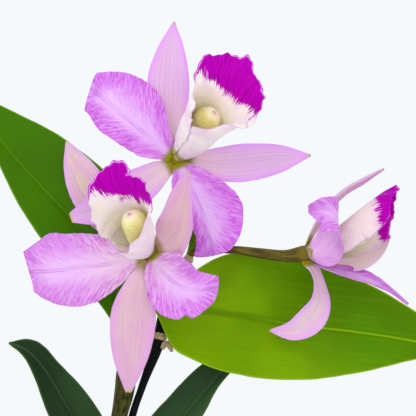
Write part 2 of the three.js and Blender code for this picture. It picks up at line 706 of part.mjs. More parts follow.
const hollow = turned([
  [0, floor + GAP], [bottomRadius - wall - GAP, floor + GAP], [shoulderRadius - wall - GAP, rimFoot],
  [mouthRadius - 2 * GAP, height], [0, height],
]);
const filled = new THREE.BoxGeometry(2 * rimRadius, 2 * rimRadius, MEDIUM_TOP);
const bed = hollow.intersect(solidOf(filled.translate(0, 0, MEDIUM_TOP / 2)));
const filling = join([bed, ...chips()]).intersect(hollow);
add("growing_medium", cut(filling, [...caneCutters, ...sheathCutters, rhizomeCutter]), "medium");

export default plant;
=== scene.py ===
"""The looks of a potted cattleya orchid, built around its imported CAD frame.

Tables are in millimetres, in the CAD's frame: +Z up, the blooms facing -Y, the pot's bottom at the origin.
"""

import math

import bpy
import numpy as np
from mathutils import Euler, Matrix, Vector


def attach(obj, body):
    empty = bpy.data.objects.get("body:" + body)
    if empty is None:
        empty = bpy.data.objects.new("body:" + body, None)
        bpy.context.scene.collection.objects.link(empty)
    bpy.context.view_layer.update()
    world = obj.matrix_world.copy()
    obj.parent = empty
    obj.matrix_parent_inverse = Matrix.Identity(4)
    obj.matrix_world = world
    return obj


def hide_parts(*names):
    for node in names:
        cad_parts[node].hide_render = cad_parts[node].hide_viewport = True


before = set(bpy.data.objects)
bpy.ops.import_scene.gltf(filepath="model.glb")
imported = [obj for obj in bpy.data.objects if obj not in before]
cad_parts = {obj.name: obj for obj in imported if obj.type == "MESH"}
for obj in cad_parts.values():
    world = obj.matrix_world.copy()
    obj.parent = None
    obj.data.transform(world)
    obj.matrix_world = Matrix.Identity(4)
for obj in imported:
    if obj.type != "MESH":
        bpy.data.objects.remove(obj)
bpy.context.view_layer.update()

MM = 0.001
TURN = 2 * math.pi
FRONT = [[0, -1, 0]]

# ---- the plant's forms ----
# The numbers are the CAD's, apart from warmth, border, lap, notches, knots and dot, which only finish
# the looks. A blade has a spine from root to tip, the way its upper face looks (forwards unless told),
# its half-widths to the left and right of the spine (alike unless told), and how far its margins curl up
# towards that face, in degrees (CUPPED unless told). Lists are spread evenly over its length. Others are:
# wave: the height of the waves in its margins, their number and phase
# tip: how far its end slants and is rounded off
# ruffle: the height of a lip's frill, its folds and phase
# warmth: how much of its lilac turns to beige, 0 to 1
# border: the line past which a lip is magenta, by the way it faces in X and Z and how far out it lies
# lap: how much further a lip's margins close over its throat, in degrees
# notches: nicks, by side (-1 left, 1 right), place, depth, width, and how far the margin flares there

CUPPED = [25, 25, 20, 15, 15, 20]

BLOOM_A = dict(
    sepal_top=dict(
        spine=[[28.5, 4, 310], [26, 5, 324], [24.5, 6, 338.5],
               [24.5, 7, 351], [25.5, 9, 365], [27, 12, 378]],
        left=[2.5, 6.5, 10.5, 10.5, 6.5, 0.5], right=[2.5, 7, 10, 10, 6.5, 0.5]),
    sepal_right=dict(
        spine=[[31.5, 4, 308.5], [42.5, 5, 306.5], [54, 6, 306],
               [65, 7, 307], [80.5, 9, 309], [96, 12, 310.5]],
        left=[2.5, 7, 9.5, 9.5, 7, 0.5], right=[2.5, 7, 9, 9.5, 7, 0.5]),
    sepal_low=dict(
        spine=[[27, 5, 306], [19, 4, 301.5], [10, 2, 295], [-1.5, 0, 288], [-13, -2, 283], [-24.5, -4, 279]],
        left=[2.5, 6.5, 9, 9.5, 8, 2.5], right=[2.5, 6.5, 9.5, 10, 7.5, 2.5]),
    petal_left=dict(
        spine=[[26, 3, 309.5], [17.5, 1, 317], [8.5, 0, 324.5],
               [-0.5, 0, 332], [-8, 1, 338.5], [-15, 3, 344]],
        face=[[0.05, -1, 0.1]], left=[3, 9.8, 12.4, 13.3, 11.8, 10.5],
        right=[3, 11, 18.6, 20.6, 17.2, 8.8], curl=[30, 25, 10, -5, -10, -5], wave=(1, 1.6, 0.4),
        tip=(4, 1.5)),
    petal_low=dict(
        spine=[[29.5, 3, 306.5], [33.5, 1, 298], [38, 0, 289],
               [41.5, 0, 280], [44.5, 1, 270], [46.5, 3, 260]],
        face=[[0, -1, 0.05]], left=[3, 10.8, 17.3, 20.4, 17.4, 9.5], right=[3, 8.5, 10, 9, 6.5, 9],
        curl=[30, 25, 15, 10, 0, 0], wave=(1, 1.6, 2.4), tip=(0, 2)),
    lip=dict(
        spine=[[31, 6, 311.5], [38, 1, 317.5], [44.5, -5, 324.5], [50.6, -12, 331.6],
               [55, -18, 339.6], [58.5, -21, 348.8], [62.5, -19, 358.3]],
        face=[[-0.45, -1, -0.1], [-0.45, -1, -0.1], [-0.45, -1, -0.1], [-0.1, -1, -0.3], [-0.1, -1, -0.2]],
        left=[12, 18, 24.5, 28.5, 32.5, 33.5, 34.8, 35.5, 37, 26.5, 23, 17, 8],
        right=[12, 18, 24.5, 28.3, 31.2, 33.6, 36, 36.5, 36.8, 21, 13.7, 8, 4.5],
        curl=[172, 176, 178, 178.5, 178.5, 178, 172, 157, 137, 73, 33, 12, 0], tip=(0, 2.5),
        ruffle=(1.5, 7, 0.5), border=dict(towards=(0.62, 0.78), at=299.5), lap=6,
        notches=[(-1, 0.7, 3, 0.02, 0), (1, 0.672, 0, 0.014, 6.5), (1, 0.79, 2.5, 0.03, 0)]),
)

BLOOM_B = dict(
    sepal_left=dict(
        spine=[[14, -9, 263.5], [4, -1, 272], [-7, 6, 282],
               [-15.5, 10, 294], [-22, 12, 306], [-27.5, 13, 318]],
        warmth=1, left=[2.5, 7.5, 10.5, 11, 7.5, 0.5], right=[2.5, 7, 9.5, 9.5, 6.5, 0.5]),
    sepal_right=dict(
        spine=[[18.5, -11, 264.5], [24, -15, 268], [28.5, -19, 274],
               [30.5, -22, 282], [32.5, -24, 291.5], [34.5, -25, 302]],
        face=[[-0.25, -1, 0]], warmth=1, left=[2.5, 8.5, 10.5, 8.5, 6.5, 1], right=[3, 12, 9.3, 7, 4, 0.5],
        curl=[40, 35, 30, 30, 30, 20]),
    sepal_low=dict(
        spine=[[14.5, -11, 257.5], [10, -13, 246], [7.5, -15, 233.5],
               [6.5, -15, 221.5], [5.5, -13, 208], [4.5, -9, 192.5]],
        warmth=0.7, left=[2.5, 7, 11, 11, 8, 1.5]),
    petal_left=dict(
        spine=[[12, -11.5, 259], [0.5, -9, 257], [-11, -8, 255.5],
               [-23, -7, 254], [-34.5, -4, 252.5], [-45.5, 0, 252]],
        face=[[0.1, -1, 0.05]], warmth=1, left=[3, 10, 17.2, 19.3, 16.6, 9.8],
        right=[3, 10.5, 15.5, 17.6, 18.2, 10.5], curl=[20, 15, 8, -5, -10, -10], wave=(1.2, 1.6, 0.8),
        tip=(3, -1)),
    petal_right=dict(
        spine=[[17, -12, 260], [21, -17, 253.5], [28, -23, 247], [36.5, -28, 244], [49, -31, 245]],
        face=[[-0.3, -0.9, 0.25]], warmth=0.6, left=[3, 13.3, 12.4, 10.6, 6.5],
        right=[3, 9.8, 16.6, 15, 7.6], curl=[30, 30, 20, 10, 0], wave=(1.4, 2.2, 1), tip=(-1, 2),
        notches=[(1, 0.74, 2.5, 0.03, 0)]),
    lip=dict(
        spine=[[16, -4, 263.5], [15.8, -10, 269], [14.2, -17, 277], [9, -24, 284.5],
               [4.5, -30, 290.5], [1, -35, 298], [0, -38, 307]],
        face=[[-0.9, -0.3, -0.4], [-0.8, -0.3, -0.5], [-0.6, -0.55, -0.55],
              [-0.35, -0.75, -0.55], [-0.15, -0.9, -0.2], [0, -1, 0]],
        left=[11.5, 18, 24, 25.5, 25.5, 25.5, 25.5, 25.5, 24.6, 22.3, 16.8, 9.5, 5],
        right=[11.5, 18, 24, 29.5, 32, 33, 33.5, 33, 29.5, 16.6, 10, 6.5, 4],
        curl=[165, 165, 160, 152, 144, 134, 130, 121, 98, 60, 42, 20, 0], tip=(0, 1.5),
        ruffle=(1.5, 7, 1.9), border=dict(towards=(0.24, 0.97), at=281.5),
        notches=[(1, 0.88, 2.5, 0.03, 0), (1, 0.685, -1.5, 0.025, 1.5)]),
)

BLOOM_C = dict(
    sepal_top=dict(
        spine=[[93, 3, 265], [98, 5, 276], [105.3, 6, 286.5],
               [113.3, 7, 293.6], [122.3, 8, 298.6], [132.5, 8, 304]],
        face=[[0.9, -0.3, -0.3], [0.75, -0.25, -0.6], [0.65, -0.2, -0.7], [0.65, -0.2, -0.7]], warmth=0.8,
        left=[2.5, 5.8, 6.2, 5.6, 4.8, 1.8], curl=[20, 28, 32, 34, 36, 30]),
    sepal_far=dict(
        spine=[[94, 5, 260], [103, 9, 257], [113, 12, 256.5],
               [122.5, 13, 259], [130.5, 12, 264], [136, 9, 270]],
        face=[[-0.1, -0.8, 0.6]], warmth=1, left=[2.5, 7, 8.5, 8.5, 6, 0.5], curl=[30, 35, 35, 30, 30, 20]),
    sepal_low=dict(
        spine=[[93, 1, 257.5], [96.5, -1, 252.5], [99, -4, 245], [99, -6, 236],
               [94, -7, 228], [86, -7, 223], [74.5, -6, 223]],
        face=[[0.7, -0.7, 0], [0.9, -0.5, 0], [0.3, -0.95, -0.1], [0.1, -1, -0.2]], warmth=0.6,
        left=[4, 6, 7.5, 7.5, 7.5, 5, 0.5], right=[3.5, 5.5, 7.5, 7.5, 7.5, 5.5, 0.5], curl=[20]),
    petal_near=dict(
        spine=[[94, 0, 260.5], [101.5, -6, 263], [107, -13, 270],
               [107.5, -20, 279], [101, -24, 283.5], [93, -26, 283.5]],
        face=[[0.2, 0.95, 0.2], [0.65, 0.7, 0], [0.92, 0.37, 0],
              [1, -0.2, 0.1], [0.4, -0.85, 0.15], [0, -1, 0.2]], warmth=0.7, left=[3, 9, 11, 11, 10.5, 2],
        right=[3, 12, 15, 12.5, 6.5, 1.5], curl=[20, 20, 10, 0, -10, -5]),
    petal_far=dict(
        spine=[[95, 2, 257], [105, 1, 253.5], [115, 0, 250.5],
               [125, 0, 247.5], [134.5, -1, 243], [144, -2, 236]],
        face=[[0.3, -0.25, 0.85]], left=[3, 7, 11, 10, 4.5, 1.5], right=[3, 9, 14, 12.5, 5.5, 3],
        curl=[20, 20, 20, 20, 10, 10]),
    lip=dict(
        spine=[[93, 3, 264.5], [101.5, 3, 269.5], [110, 2, 275], [118, 1, 281.5],
               [125.5, 0, 287.3], [131.8, -1, 291.8], [138, -2, 295.2]],
        face=[[0.45, -0.2, -0.85]], left=[11, 17, 20, 22.3, 22, 18.5, 8],
        right=[11, 21, 26, 28.5, 20, 16, 8], curl=[165, 165, 142, 135, 105, 96, 65], tip=(0, 5),
        ruffle=(1.5, 7, 2.9), border=dict(towards=(0.99, 0.14), at=166.3)),
)

LEAVES = dict(
    leaf_right=dict(
        spine=[[18.5, 14, 237.5], [40, 18, 232.5], [65.5, 22, 228.5], [91, 26, 224],
               [116.5, 29, 221], [142.5, 32, 217], [169.5, 36, 211.5]],
        face=[[0, -1, 0.1]], left=[2.5, 15, 25, 31, 32.5, 33, 32.3, 30, 27, 23, 17.5, 11, 0.5],
        right=[8, 22.5, 26.4, 29.3, 30.1, 29.8, 28.2, 26, 22.8, 18.6, 13.4, 7.5, 0.5],
        curl=[40, 20, 10, 8, 8, 8, 8]),
    leaf_left=dict(
        spine=[[5, 10, 214], [-3.5, 17, 239], [-14, 24, 260.5], [-26.5, 30, 279],
               [-42.5, 35, 296], [-61, 41, 316.5], [-83, 48, 346.5]],
        face=[[0.1, -1, 0.1]], left=[1.5, 8.8, 16.2, 18.6, 15, 7.5, 0.5],
        right=[2.5, 18, 25, 29, 27, 19.6, 0.5], curl=[40, 25, 15, 10, 8, 8, 8]),
    leaf_low_left=dict(
        spine=[[-1.5, 20, 134], [-11, 16, 152], [-19, 11, 169], [-28, 5, 186.5],
               [-37, 0, 202.5], [-45.5, -4, 212.5], [-55, -6, 217]],
        face=[[0.3, -1, 0.1], [0.25, -1, 0.2], [0, -1, 0.5]], left=[2.5, 10, 13, 11, 7.5, 4, 0.5],
        right=[2.5, 10, 13, 11.8, 7.6, 6.6, 0.5], curl=[40, 30, 25, 20, 20, 15, 15]),
    leaf_low_right=dict(
        spine=[[0.5, 20, 133.5], [10.5, 24, 151], [22, 28, 166.5], [35, 32, 181.5],
               [46, 36, 194.5], [57.5, 39, 206.5], [65.5, 41, 216]],
        face=[[-0.3, -1, 0.1], [-0.2, -1, 0.2], [0, -1, 0.3]], left=[2.5, 10, 12.5, 12, 10.5, 6.5, 0.5],
        right=[2.5, 10, 11, 8.2, 4.5, 3, 0.5], curl=[40, 30, 25, 20, 20, 15, 15]),
)

# Round stems: a centre line, the radius along it, and whether a ball rounds its end off.
STEMS = dict(
    cane_flowering=dict(
        line=[[-2.5, 4, 82], [-1, 7, 132], [4.5, 9, 173], [11, 10, 194.5],
              [18.6, 12, 215], [21, 14.5, 227.5], [22.5, 15.5, 236]],
        radius=[3.5, 2.4, 1.9, 1.9, 3, 2.8, 2]),
    cane_second=dict(
        line=[[-14, -4, 82], [-10, 0, 128], [-4, 4, 162.5], [-0.5, 6, 179.5],
              [2, 7, 191.5], [3.5, 8, 203.5], [5, 9, 213.5]], radius=[3.4, 4, 3.9, 4, 4.9, 5, 2.5]),
    cane_third=dict(
        line=[[8.5, 14, 82], [6, 18, 106], [2.5, 20, 121], [-0.5, 20, 135]], radius=[3.6, 4.2, 4.2, 3]),
    flower_spike=dict(
        line=[[22, 12, 233.5], [28, 14, 246.5], [35, 14, 260.5], [36.5, 14, 273],
              [35, 13, 288], [31.5, 10, 300.5], [29, 5, 309.5]],
        radius=[2, 2, 1.9, 1.8, 2.2, 3, 4.3], ball=True),
    bloom_b_stalk=dict(
        line=[[32, 13, 253.5], [28, 6, 256.5], [23, -1, 259.5], [15.5, -8, 262.5]],
        radius=[1.7, 2.1, 2.8, 5.4], ball=True),
    bloom_c_stalk=dict(
        line=[[35, 13, 261], [46, 10, 263], [58.5, 8, 262.8],
              [71, 6, 261.2], [82.5, 4, 260], [92, 3, 260.8]],
        radius=[1.7, 1.9, 2, 2.5, 2.9, 4.3], ball=True),
)
# Each column swells to a rounded cap with a purple dot around the point given.
COLUMNS = dict(
    bloom_a_column=dict(
        line=[[29, 2, 309.5], [36, -8, 318.5], [43.5, -17, 327.5]],
        radius=[2.4, 4.2, 6.6], ball=True, dot=[47.5, -21.5, 331]),
    bloom_b_column=dict(
        line=[[14.5, -8, 262], [9.5, -19, 268], [8, -30, 277]],
        radius=[2.4, 4.2, 6.3], ball=True, dot=[5.5, -34.5, 281]),
    bloom_c_column=dict(
        line=[[93.5, 2, 262.5], [106, 2, 266], [118, 1, 270]],
        radius=[2.4, 3.6, 5.5], ball=True, dot=[123, 0, 271]),
)

# Its knots stand proud by a share of its radius, and have a rate along it.
RHIZOME = dict(
    line=[[-27, -14, 83], [-14, -4, 84.5], [-2.5, 4, 85], [8.5, 14, 84.5], [19, 23, 82]],
    radius=[3.5, 5.5, 5.8, 5.6, 3.5], knots=(0.07, 0.5),
)
ROOTS = [
    [[-16, -8, 84], [-24, -20, 85], [-30, -29, 78]],
    [[-6, 2, 85], [-16, 12, 86], [-24, 20, 78]],
    [[4, 8, 85], [13, 0, 86], [22, -9, 78]],
    [[10, 16, 84], [4, 27, 85], [-1, 34, 78]],
]
ROOT_RADIUS = [2, 1.8, 1.2]

SHEATHS = dict(
    sheath_flowering=dict(cane="cane_flowering", start=0.03, end=0.13),
    sheath_second=dict(cane="cane_second", start=0.03, end=0.16),
    sheath_third=dict(cane="cane_third", start=0.12, end=0.5),
)
SHEATH_SCRAP = dict(
    spine=[[20.8, 9.5, 213], [22.6, 8.8, 215.5], [24.8, 8.6, 214.5], [25.8, 8.6, 211.5]],
    face=[[0.2, -1, 0.3]], left=[1, 1.7, 1.6, 0.8], curl=[20, 20, 10, 10],
)
# Dry rings left on the stems by fallen bracts: which stem, where along it, and their half-length.
BRACT_RINGS = dict(
    ring_on_cane=dict(stem="cane_flowering", at=0.7055, half=0.0065),
    ring_on_spike=dict(stem="flower_spike", at=0.3, half=0.014),
)

POT = dict(bottom=42, shoulder=53.5, rim=57.5, mouth=51.5, height=95, rim_height=15, wall=4, floor=6)
MEDIUM_TOP = 82.5


# ---- geometry ----

TANGENT_STEP = 0.001  # the share of a line's length over which its direction is taken
THINNEST = 0.35  # the least half-width of a blade
LIP_LENGTH = 60  # about how long a lip is, for the rays over it from its throat
CAP_RINGS = 6  # how many rings round off each end of a tube
BLUNT = 0.5  # how far a tube's root end bulges, against its radius
POINT = 0.02  # the radius left at a tube's very ends, against its own


def unit(v):
    v = np.asarray(v, float)
    return v / np.maximum(np.linalg.norm(v, axis=-1, keepdims=True), 1e-9)


def spline(values, share):
    """Catmull-Rom value at a share of an evenly spread list of numbers or points."""
    values = np.asarray(values, float)
    share = np.asarray(share, float)
    if len(values) == 1:
        return np.broadcast_to(values[0], share.shape + values.shape[1:]).copy()
    last = len(values) - 1
    cell = np.clip(np.floor(share * last).astype(int), 0, last - 1)
    f = share * last - cell
    if values.ndim > 1:
        f = f[..., None]
    padded = np.concatenate([2 * values[:1] - values[1:2], values, 2 * values[-1:] - values[-2:-1]])
    p0, p1, p2, p3 = (padded[cell + k] for k in range(4))
    square = (2 * p0 - 5 * p1 + 4 * p2 - p3) * f**2
    cube = (3 * p1 - p0 - 3 * p2 + p3) * f**3
    return 0.5 * (2 * p1 + (p2 - p0) * f + square + cube)


def tangent(points, share):
    return unit(spline(points, share + TANGENT_STEP) - spline(points, share - TANGENT_STEP))


def smooth(value, start, end):
    """0 before start, 1 after end, and an even S between."""
    x = np.clip((value - start) / (end - start), 0, 1)
    return x * x * (3 - 2 * x)


def ripple(x, seed, count=5):
    """Uneven waves along x, about -1 to 1, the same on every run."""
    rng = np.random.default_rng(seed)
    total = 0
    for k in range(count):
        total += np.sin(x * (1 + 1.7 * k) * rng.uniform(0.8, 1.2) + rng.uniform(0, TURN)) / (1 + k)
    return total / 1.6


def ray_angle(S, U):
    """The direction from a lip's throat to each point on it."""
    return np.arctan2(U, S * LIP_LENGTH + 4)


def ruffled(form, S, V, U, edge):
    """How far a lip's frill stands off its plain form, and how far it runs on past it."""
    height, count, phase = form["ruffle"]
    angle = np.arctan2(U, (S - 0.45) * LIP_LENGTH)
    folds = count * angle
    front = np.clip((S - 0.6) / 0.4, 0, 1) ** 1.6
    side = V**4 * np.clip((S - 0.35) / 0.25, 0, 1)
    fold = np.sin(folds + phase) + 0.35 * np.sin(2.3 * folds + 1.3 * phase)
    margin = np.exp(-edge / 2.2) * np.clip((S - 0.3) / 0.3, 0, 1)
    crisp = np.sin(4.3 * folds + 2 * phase + 1.2 * np.sin(3 * angle)) + 0.6 * np.sin(7.1 * folds)
    lift = height * np.maximum(front, side) * fold + 0.5 * margin * crisp
    scallops = height * np.sin(2.6 * folds + phase) + np.sin(6.3 * folds + 2.2 * phase)
    return lift, 0.55 * front**2 * scallops


def blade_grid(form, rows, columns, relief=None, fray=0.0, seed=0):
    """Points on a blade's middle surface, the place of each on it, and its greatest half-width."""
    s = np.linspace(0, 1, rows)
    v = np.linspace(-1, 1, columns)
    spine = spline(form["spine"], s)
    along = tangent(form["spine"], s)
    face = spline(form.get("face", FRONT), s)
    face = unit(face - (face * along).sum(1, keepdims=True) * along)
    across = np.cross(along, face)
    left = np.maximum(spline(form["left"], s), THINNEST)
    right = np.maximum(spline(form.get("right", form["left"]), s), THINNEST)
    reach = np.clip(s * 4, 0, 1) * fray
    rims = {-1: left + reach * ripple(14 * s, seed), 1: right + reach * ripple(14 * s, seed + 1)}
    flare = np.zeros((rows, columns))
    for side, at, depth, width, outwards in form.get("notches", ()):
        dent = np.exp(-(((s - at) / width) ** 2))
        flare += outwards * dent[:, None] * np.maximum(side * v, 0) ** 3
        rims[side] -= depth * dent
    closed = form.get("lap", 0) * (1 - smooth(s, 0.38, 0.5))
    curl = np.radians(spline(form.get("curl", CUPPED), s) + closed) + 1e-4
    bend = (curl / ((left + right) / 2))[:, None]
    S, V = np.meshgrid(s, v, indexing="ij")
    half = np.where(V < 0, rims[-1][:, None], rims[1][:, None])
    U = V * half
    length = np.linalg.norm(np.diff(spine, axis=0), axis=1).sum()
    edge = np.minimum((1 - np.abs(V)) * half, (1 - S) * length)
    lift = 0.09 * closed[:, None] * V**7 - flare
    stretch = np.zeros_like(U)
    if "wave" in form:
        height, count, phase = form["wave"]
        rim = np.abs(V) ** 2.5 * np.clip(S * 3, 0, 1)
        lift += height * rim * np.sin(TURN * count * S + phase + np.where(V < 0, 2.1, 0))
        lift += 0.28 * height * np.exp(-edge / 3) * ripple(26 * S + 3 * V, seed + 7)
    if "ruffle" in form:
        more, further = ruffled(form, S, V, U, edge)
        lift += more
        stretch += further
    if relief:
        lift += relief(S, V, U)
    sideways = np.sin(bend * U) / bend - lift * np.sin(bend * U)
    upwards = (1 - np.cos(bend * U)) / bend + lift * np.cos(bend * U)
    slant, rounding = form.get("tip", (0, 0))
    towards_tip = np.clip((S - 0.55) / 0.45, 0, 1) ** 2
    stretch += (slant * V - rounding * (1 - np.sqrt(1 - 0.98 * V * V))) * towards_tip
    points = spine[:, None] + across[:, None] * sideways[..., None]
    points += face[:, None] * upwards[..., None] + along[:, None] * stretch[..., None]
    return points, S, V, U, edge, S * length, max(left.max(), right.max())


def skin_faces(rows, columns):
    """Faces of a grid's upper points, of its lower points after them, and of the rim between."""
    under = rows * columns
    at = np.arange(under).reshape(rows, columns)
    upper = np.stack([at[:-1, :-1], at[:-1, 1:], at[1:, 1:], at[1:, :-1]], -1).reshape(-1, 4)
    rim = np.concatenate([at[0, :-1], at[:-1, -1], at[-1, :0:-1], at[:0:-1, 0]])
    ahead = np.roll(rim, -1)
    sides = np.stack([rim, rim + under, ahead + under, ahead], -1)
    return np.concatenate([upper, upper[:, ::-1] + under, sides]).tolist()


def shell(points, thickness):
    """A closed skin of the given thickness around a grid: its vertices and faces."""
    rows, columns = points.shape[:2]
    normals = unit(np.cross(np.gradient(points, axis=1), np.gradient(points, axis=0)))
    offset = normals * (np.broadcast_to(thickness, (rows, columns)) / 2)[..., None]
    return np.stack([points + offset, points - offset]), skin_faces(rows, columns)


def hoops(centre, along, r, turn):
    """Points round each place on a centre line, at radii r and the angles of turn."""
    side = unit(np.cross(along, [0.0, 1.0, 0.0]))
    up = np.cross(side, along)
    points = centre[:, None] + side[:, None] * (r * np.cos(turn))[..., None]
    return points + up[:, None] * (r * np.sin(turn))[..., None]


def tube_grid(line, radius, rings, sides, ball=False, ribs=0, depth=0.0):
    """Rings of points round a centre line, closed to near points at its ends, and the place of each."""
    s = np.linspace(0, 1, rings)
    centre = spline(line, s)
    along = tangent(line, s)
    r = spline(radius, s)
    turned = np.linspace(math.pi / 2, 0, CAP_RINGS, endpoint=False)
    cap = np.maximum(np.cos(turned), POINT)
    head = centre[0] - along[0] * (np.sin(turned) * r[0] * BLUNT)[:, None]
    tail = centre[-1] + along[-1] * (np.sin(turned[::-1]) * r[-1])[:, None]
    if ball:
        far = np.linalg.norm(centre - centre[-1], axis=1)
        r = np.maximum(r, np.sqrt(np.maximum(r[-1] ** 2 - far**2, 0)))
    centre = np.concatenate([head, centre, tail])
    along = np.concatenate([np.repeat(along[:1], CAP_RINGS, 0), along, np.repeat(along[-1:], CAP_RINGS, 0)])
    r = np.concatenate([r[0] * cap, r, r[-1] * cap[::-1]])
    share = np.concatenate([np.zeros(CAP_RINGS), s, np.ones(CAP_RINGS)])
    turn = np.linspace(0, TURN, sides, endpoint=False)
    points = hoops(centre, along, r[:, None] * (1 + depth * np.cos(ribs * turn)), turn)
    length = np.linalg.norm(np.diff(centre, axis=0), axis=1).sum()
    S, V = np.meshgrid(share, turn / TURN, indexing="ij")
    return points, S, V, S * length


def closed_rings(points):
    """Faces of a grid that closes round its columns, with a face over each end."""
    rows, columns = points.shape[:2]
    at = np.arange(rows * columns).reshape(rows, columns)
    ahead = np.roll(at, -1, axis=1)
    quads = np.stack([at[:-1], at[1:], ahead[1:], ahead[:-1]], -1).reshape(-1, 4)
    return quads.tolist() + [at[0].tolist(), at[-1, ::-1].tolist()]


def in_scene(name, data):
    made = bpy.data.objects.new(name, data)
    bpy.context.scene.collection.objects.link(made)
    return made


def piece(name, vertices, faces, material, node=None, data=None, smooth=True):
    """A finished mesh in the row's frame, riding on the body, with its point data for the materials."""
    mesh = bpy.data.meshes.new(name)
    mesh.from_pydata((np.asarray(vertices).reshape(-1, 3) * MM).tolist(), [], faces)
    mesh.polygons.foreach_set("use_smooth", [smooth] * len(mesh.polygons))
    for key, values in (data or {}).items():
        layer = mesh.attributes.new(key, "FLOAT_VECTOR", "POINT")
        layer.data.foreach_set("vector", np.asarray(values, np.float32).ravel())
    mesh.validate()
    mesh.materials.append(material)
    made = in_scene(name, mesh)
    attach(made, "root")
    if node:
        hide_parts(node)


def per_point(*channels):
    """Three values for each point of a grid."""
    return np.stack([np.broadcast_to(c, channels[0].shape) for c in channels], -1).reshape(-1, 3)


def on_skins(place, **others):
    """Point data for both skins. place is (S, V), and then 1 on the upper skin and -1 on the lower."""
    data = {key: np.tile(per_point(*channels), (2, 1)) for key, channels in others.items()}
    data["place"] = np.concatenate([per_point(*place, side) for side in (1, -1)])
    return data


def make_blade(name, form, material, slot, thickness, **options):
    points, S, V, U, edge, along, widest = blade_grid(form, **options)
    vertices, faces = shell(points, thickness * (0.35 + 0.65 * smooth(edge, 0, 2.5)))
    vein = S - 0.45 * np.sqrt(np.abs(U) / widest)
    beyond = np.full_like(S, form.get("warmth", 0.0))
    if "border" in form:
        x, z = form["border"]["towards"]
        beyond = (points[..., 0] * x + points[..., 2] * z) / math.hypot(x, z) - form["border"]["at"]
    data = on_skins((S, V), flow=(vein, along, U), rim=(edge, beyond, ray_angle(S, U)))
    piece(name, vertices, faces, material, name, data)


def make_tube(name, form, material, slot, rings, sides, node=None, **ribbing):
    points, S, V, along = tube_grid(form["line"], form["radius"], rings, sides, form.get("ball"), **ribbing)
    if "knots" in form:
        height, rate = form["knots"]
        middle = points.mean(axis=1, keepdims=True)
        points = middle + (points - middle) * (1 + height * np.abs(np.sin(along * rate)))[..., None]
    data = {"place": per_point(S, V, 1), "flow": per_point(np.cos(TURN * V), along, np.sin(TURN * V))}
    if "dot" in form:
        far = np.linalg.norm(points - np.array(form["dot"]), axis=-1)
        data["dot"] = per_point(far, far, far)
    piece(name, points, closed_rings(points), material, node, data)


# ---- materials ----

def paint(red, green, blue):
    """A colour as it looks on a screen, 0 to 255, as Blender's linear values."""
    linear = [c / 255 / 12.92 if c <= 10 else ((c / 255 + 0.055) / 1.055) ** 2.4 for c in (red, green, blue)]
    return (*linear, 1.0)


class Value:
    """What a node of a look gives. Reckoning with it adds more nodes."""

    def __init__(self, look, socket):
        self.look = look
        self.socket = socket

    def __add__(self, other):
        return self.look.math("ADD", self, other)

    def __sub__(self, other):
        return self.look.math("SUBTRACT", self, other)

    def __mul__(self, other):
        return self.look.math("MULTIPLY", self, other)

    def __abs__(self):
        return self.look.math("ABSOLUTE", self)

    def step(self, start, end):
        """0 at start and 1 at end, and an even S between; start may be the larger."""
        ends = {0: self, 1: start, 2: end}
        if start > end:
            ends = {0: self, 1: end, 2: start, 3: 1.0, 4: 0.0}
        return self.look.value("MapRange", ends, interpolation_type="SMOOTHSTEP")


class Look:
    """A material. Its colours are values, or red, green and blue as they look on a screen."""

    def __init__(self, name, roughness, **settings):
        self.material = bpy.data.materials.new(name)
        self.material.use_nodes = True
        self.tree = self.material.node_tree
        self.shader = self.tree.nodes["Principled BSDF"]
        self.shader.inputs["Roughness"].default_value = roughness
        for key, value in settings.items():
            self.shader.inputs[key.replace("_", " ")].default_value = value

    def put(self, socket, value):
        if isinstance(value, Value):
            self.tree.links.new(value.socket, socket)
        else:
            socket.default_value = value

    def value(self, kind, inputs, output=0, **settings):
        made = self.tree.nodes.new("ShaderNode" + kind)
        for key, value in settings.items():
            setattr(made, key, value)
        for key, value in inputs.items():
            self.put(made.inputs[key], value)
        return Value(self, made.outputs[output])

    def parts(self, vector):
        """The three values of a vector."""
        separated = self.value("SeparateXYZ", {0: vector}).socket.node
        return [Value(self, output) for output in separated.outputs]

    def data(self, name):
        """The three values of a point attribute."""
        return self.parts(self.value("Attribute", {}, "Vector", attribute_name=name))

    def everywhere(self):
        """The point in the row's frame, in millimetres."""
        place = self.value("TexCoord", {}, "Object")
        return self.value("VectorMath", {0: place, 3: 1000.0}, operation="SCALE")

    def stretched(self, *rates):
        return self.value("VectorMath", {0: self.everywhere(), 1: rates}, operation="MULTIPLY")

    def math(self, operation, a, b=0.0):
        return self.value("Math", {0: a, 1: b}, operation=operation)

    def noise(self, vector, scale=1.0, detail=2.0, roughness=0.5, distortion=0.0):
        """Noise over a vector, or over two or three values."""
        if isinstance(vector, tuple):
            vector = self.value("CombineXYZ", dict(enumerate(vector)))
        inputs = dict(Vector=vector, Scale=scale, Detail=detail, Roughness=roughness, Distortion=distortion)
        return self.value("TexNoise", inputs)

    def grain(self, scale, **options):
        """Noise over the piece, in its solid."""
        return self.noise(self.everywhere(), scale, **options)

    def mix(self, low, high, share):
        low, high = (c if isinstance(c, Value) else paint(*c) for c in (low, high))
        return self.value("Mix", {0: share, 6: low, 7: high}, 2, data_type="RGBA")

    def coats(self, colour, *coats):
        """A colour with others over it, each with the share of it that shows."""
        for coat, share in coats:
            colour = self.mix(colour, coat, share)
        return colour

    def finish(self, colour, bumps, **settings):
        """The material, with its bumps as pairs of a height and its depth in millimetres."""
        settings["Base Color"] = colour
        for height, depth in bumps:
            inputs = {"Height": height, "Distance": depth * MM, "Strength": 1.0}
            if "Normal" in settings:
                inputs["Normal"] = settings["Normal"]
            settings["Normal"] = self.value("Bump", inputs)
        for key, value in settings.items():
            self.put(self.shader.inputs[key], value)
        return self.material


def glow(weight, *radius):
    """Shader settings for light that spreads inside a piece. The radii are in metres."""
    return dict(Subsurface_Weight=weight, Subsurface_Radius=radius, Subsurface_Scale=1.0)


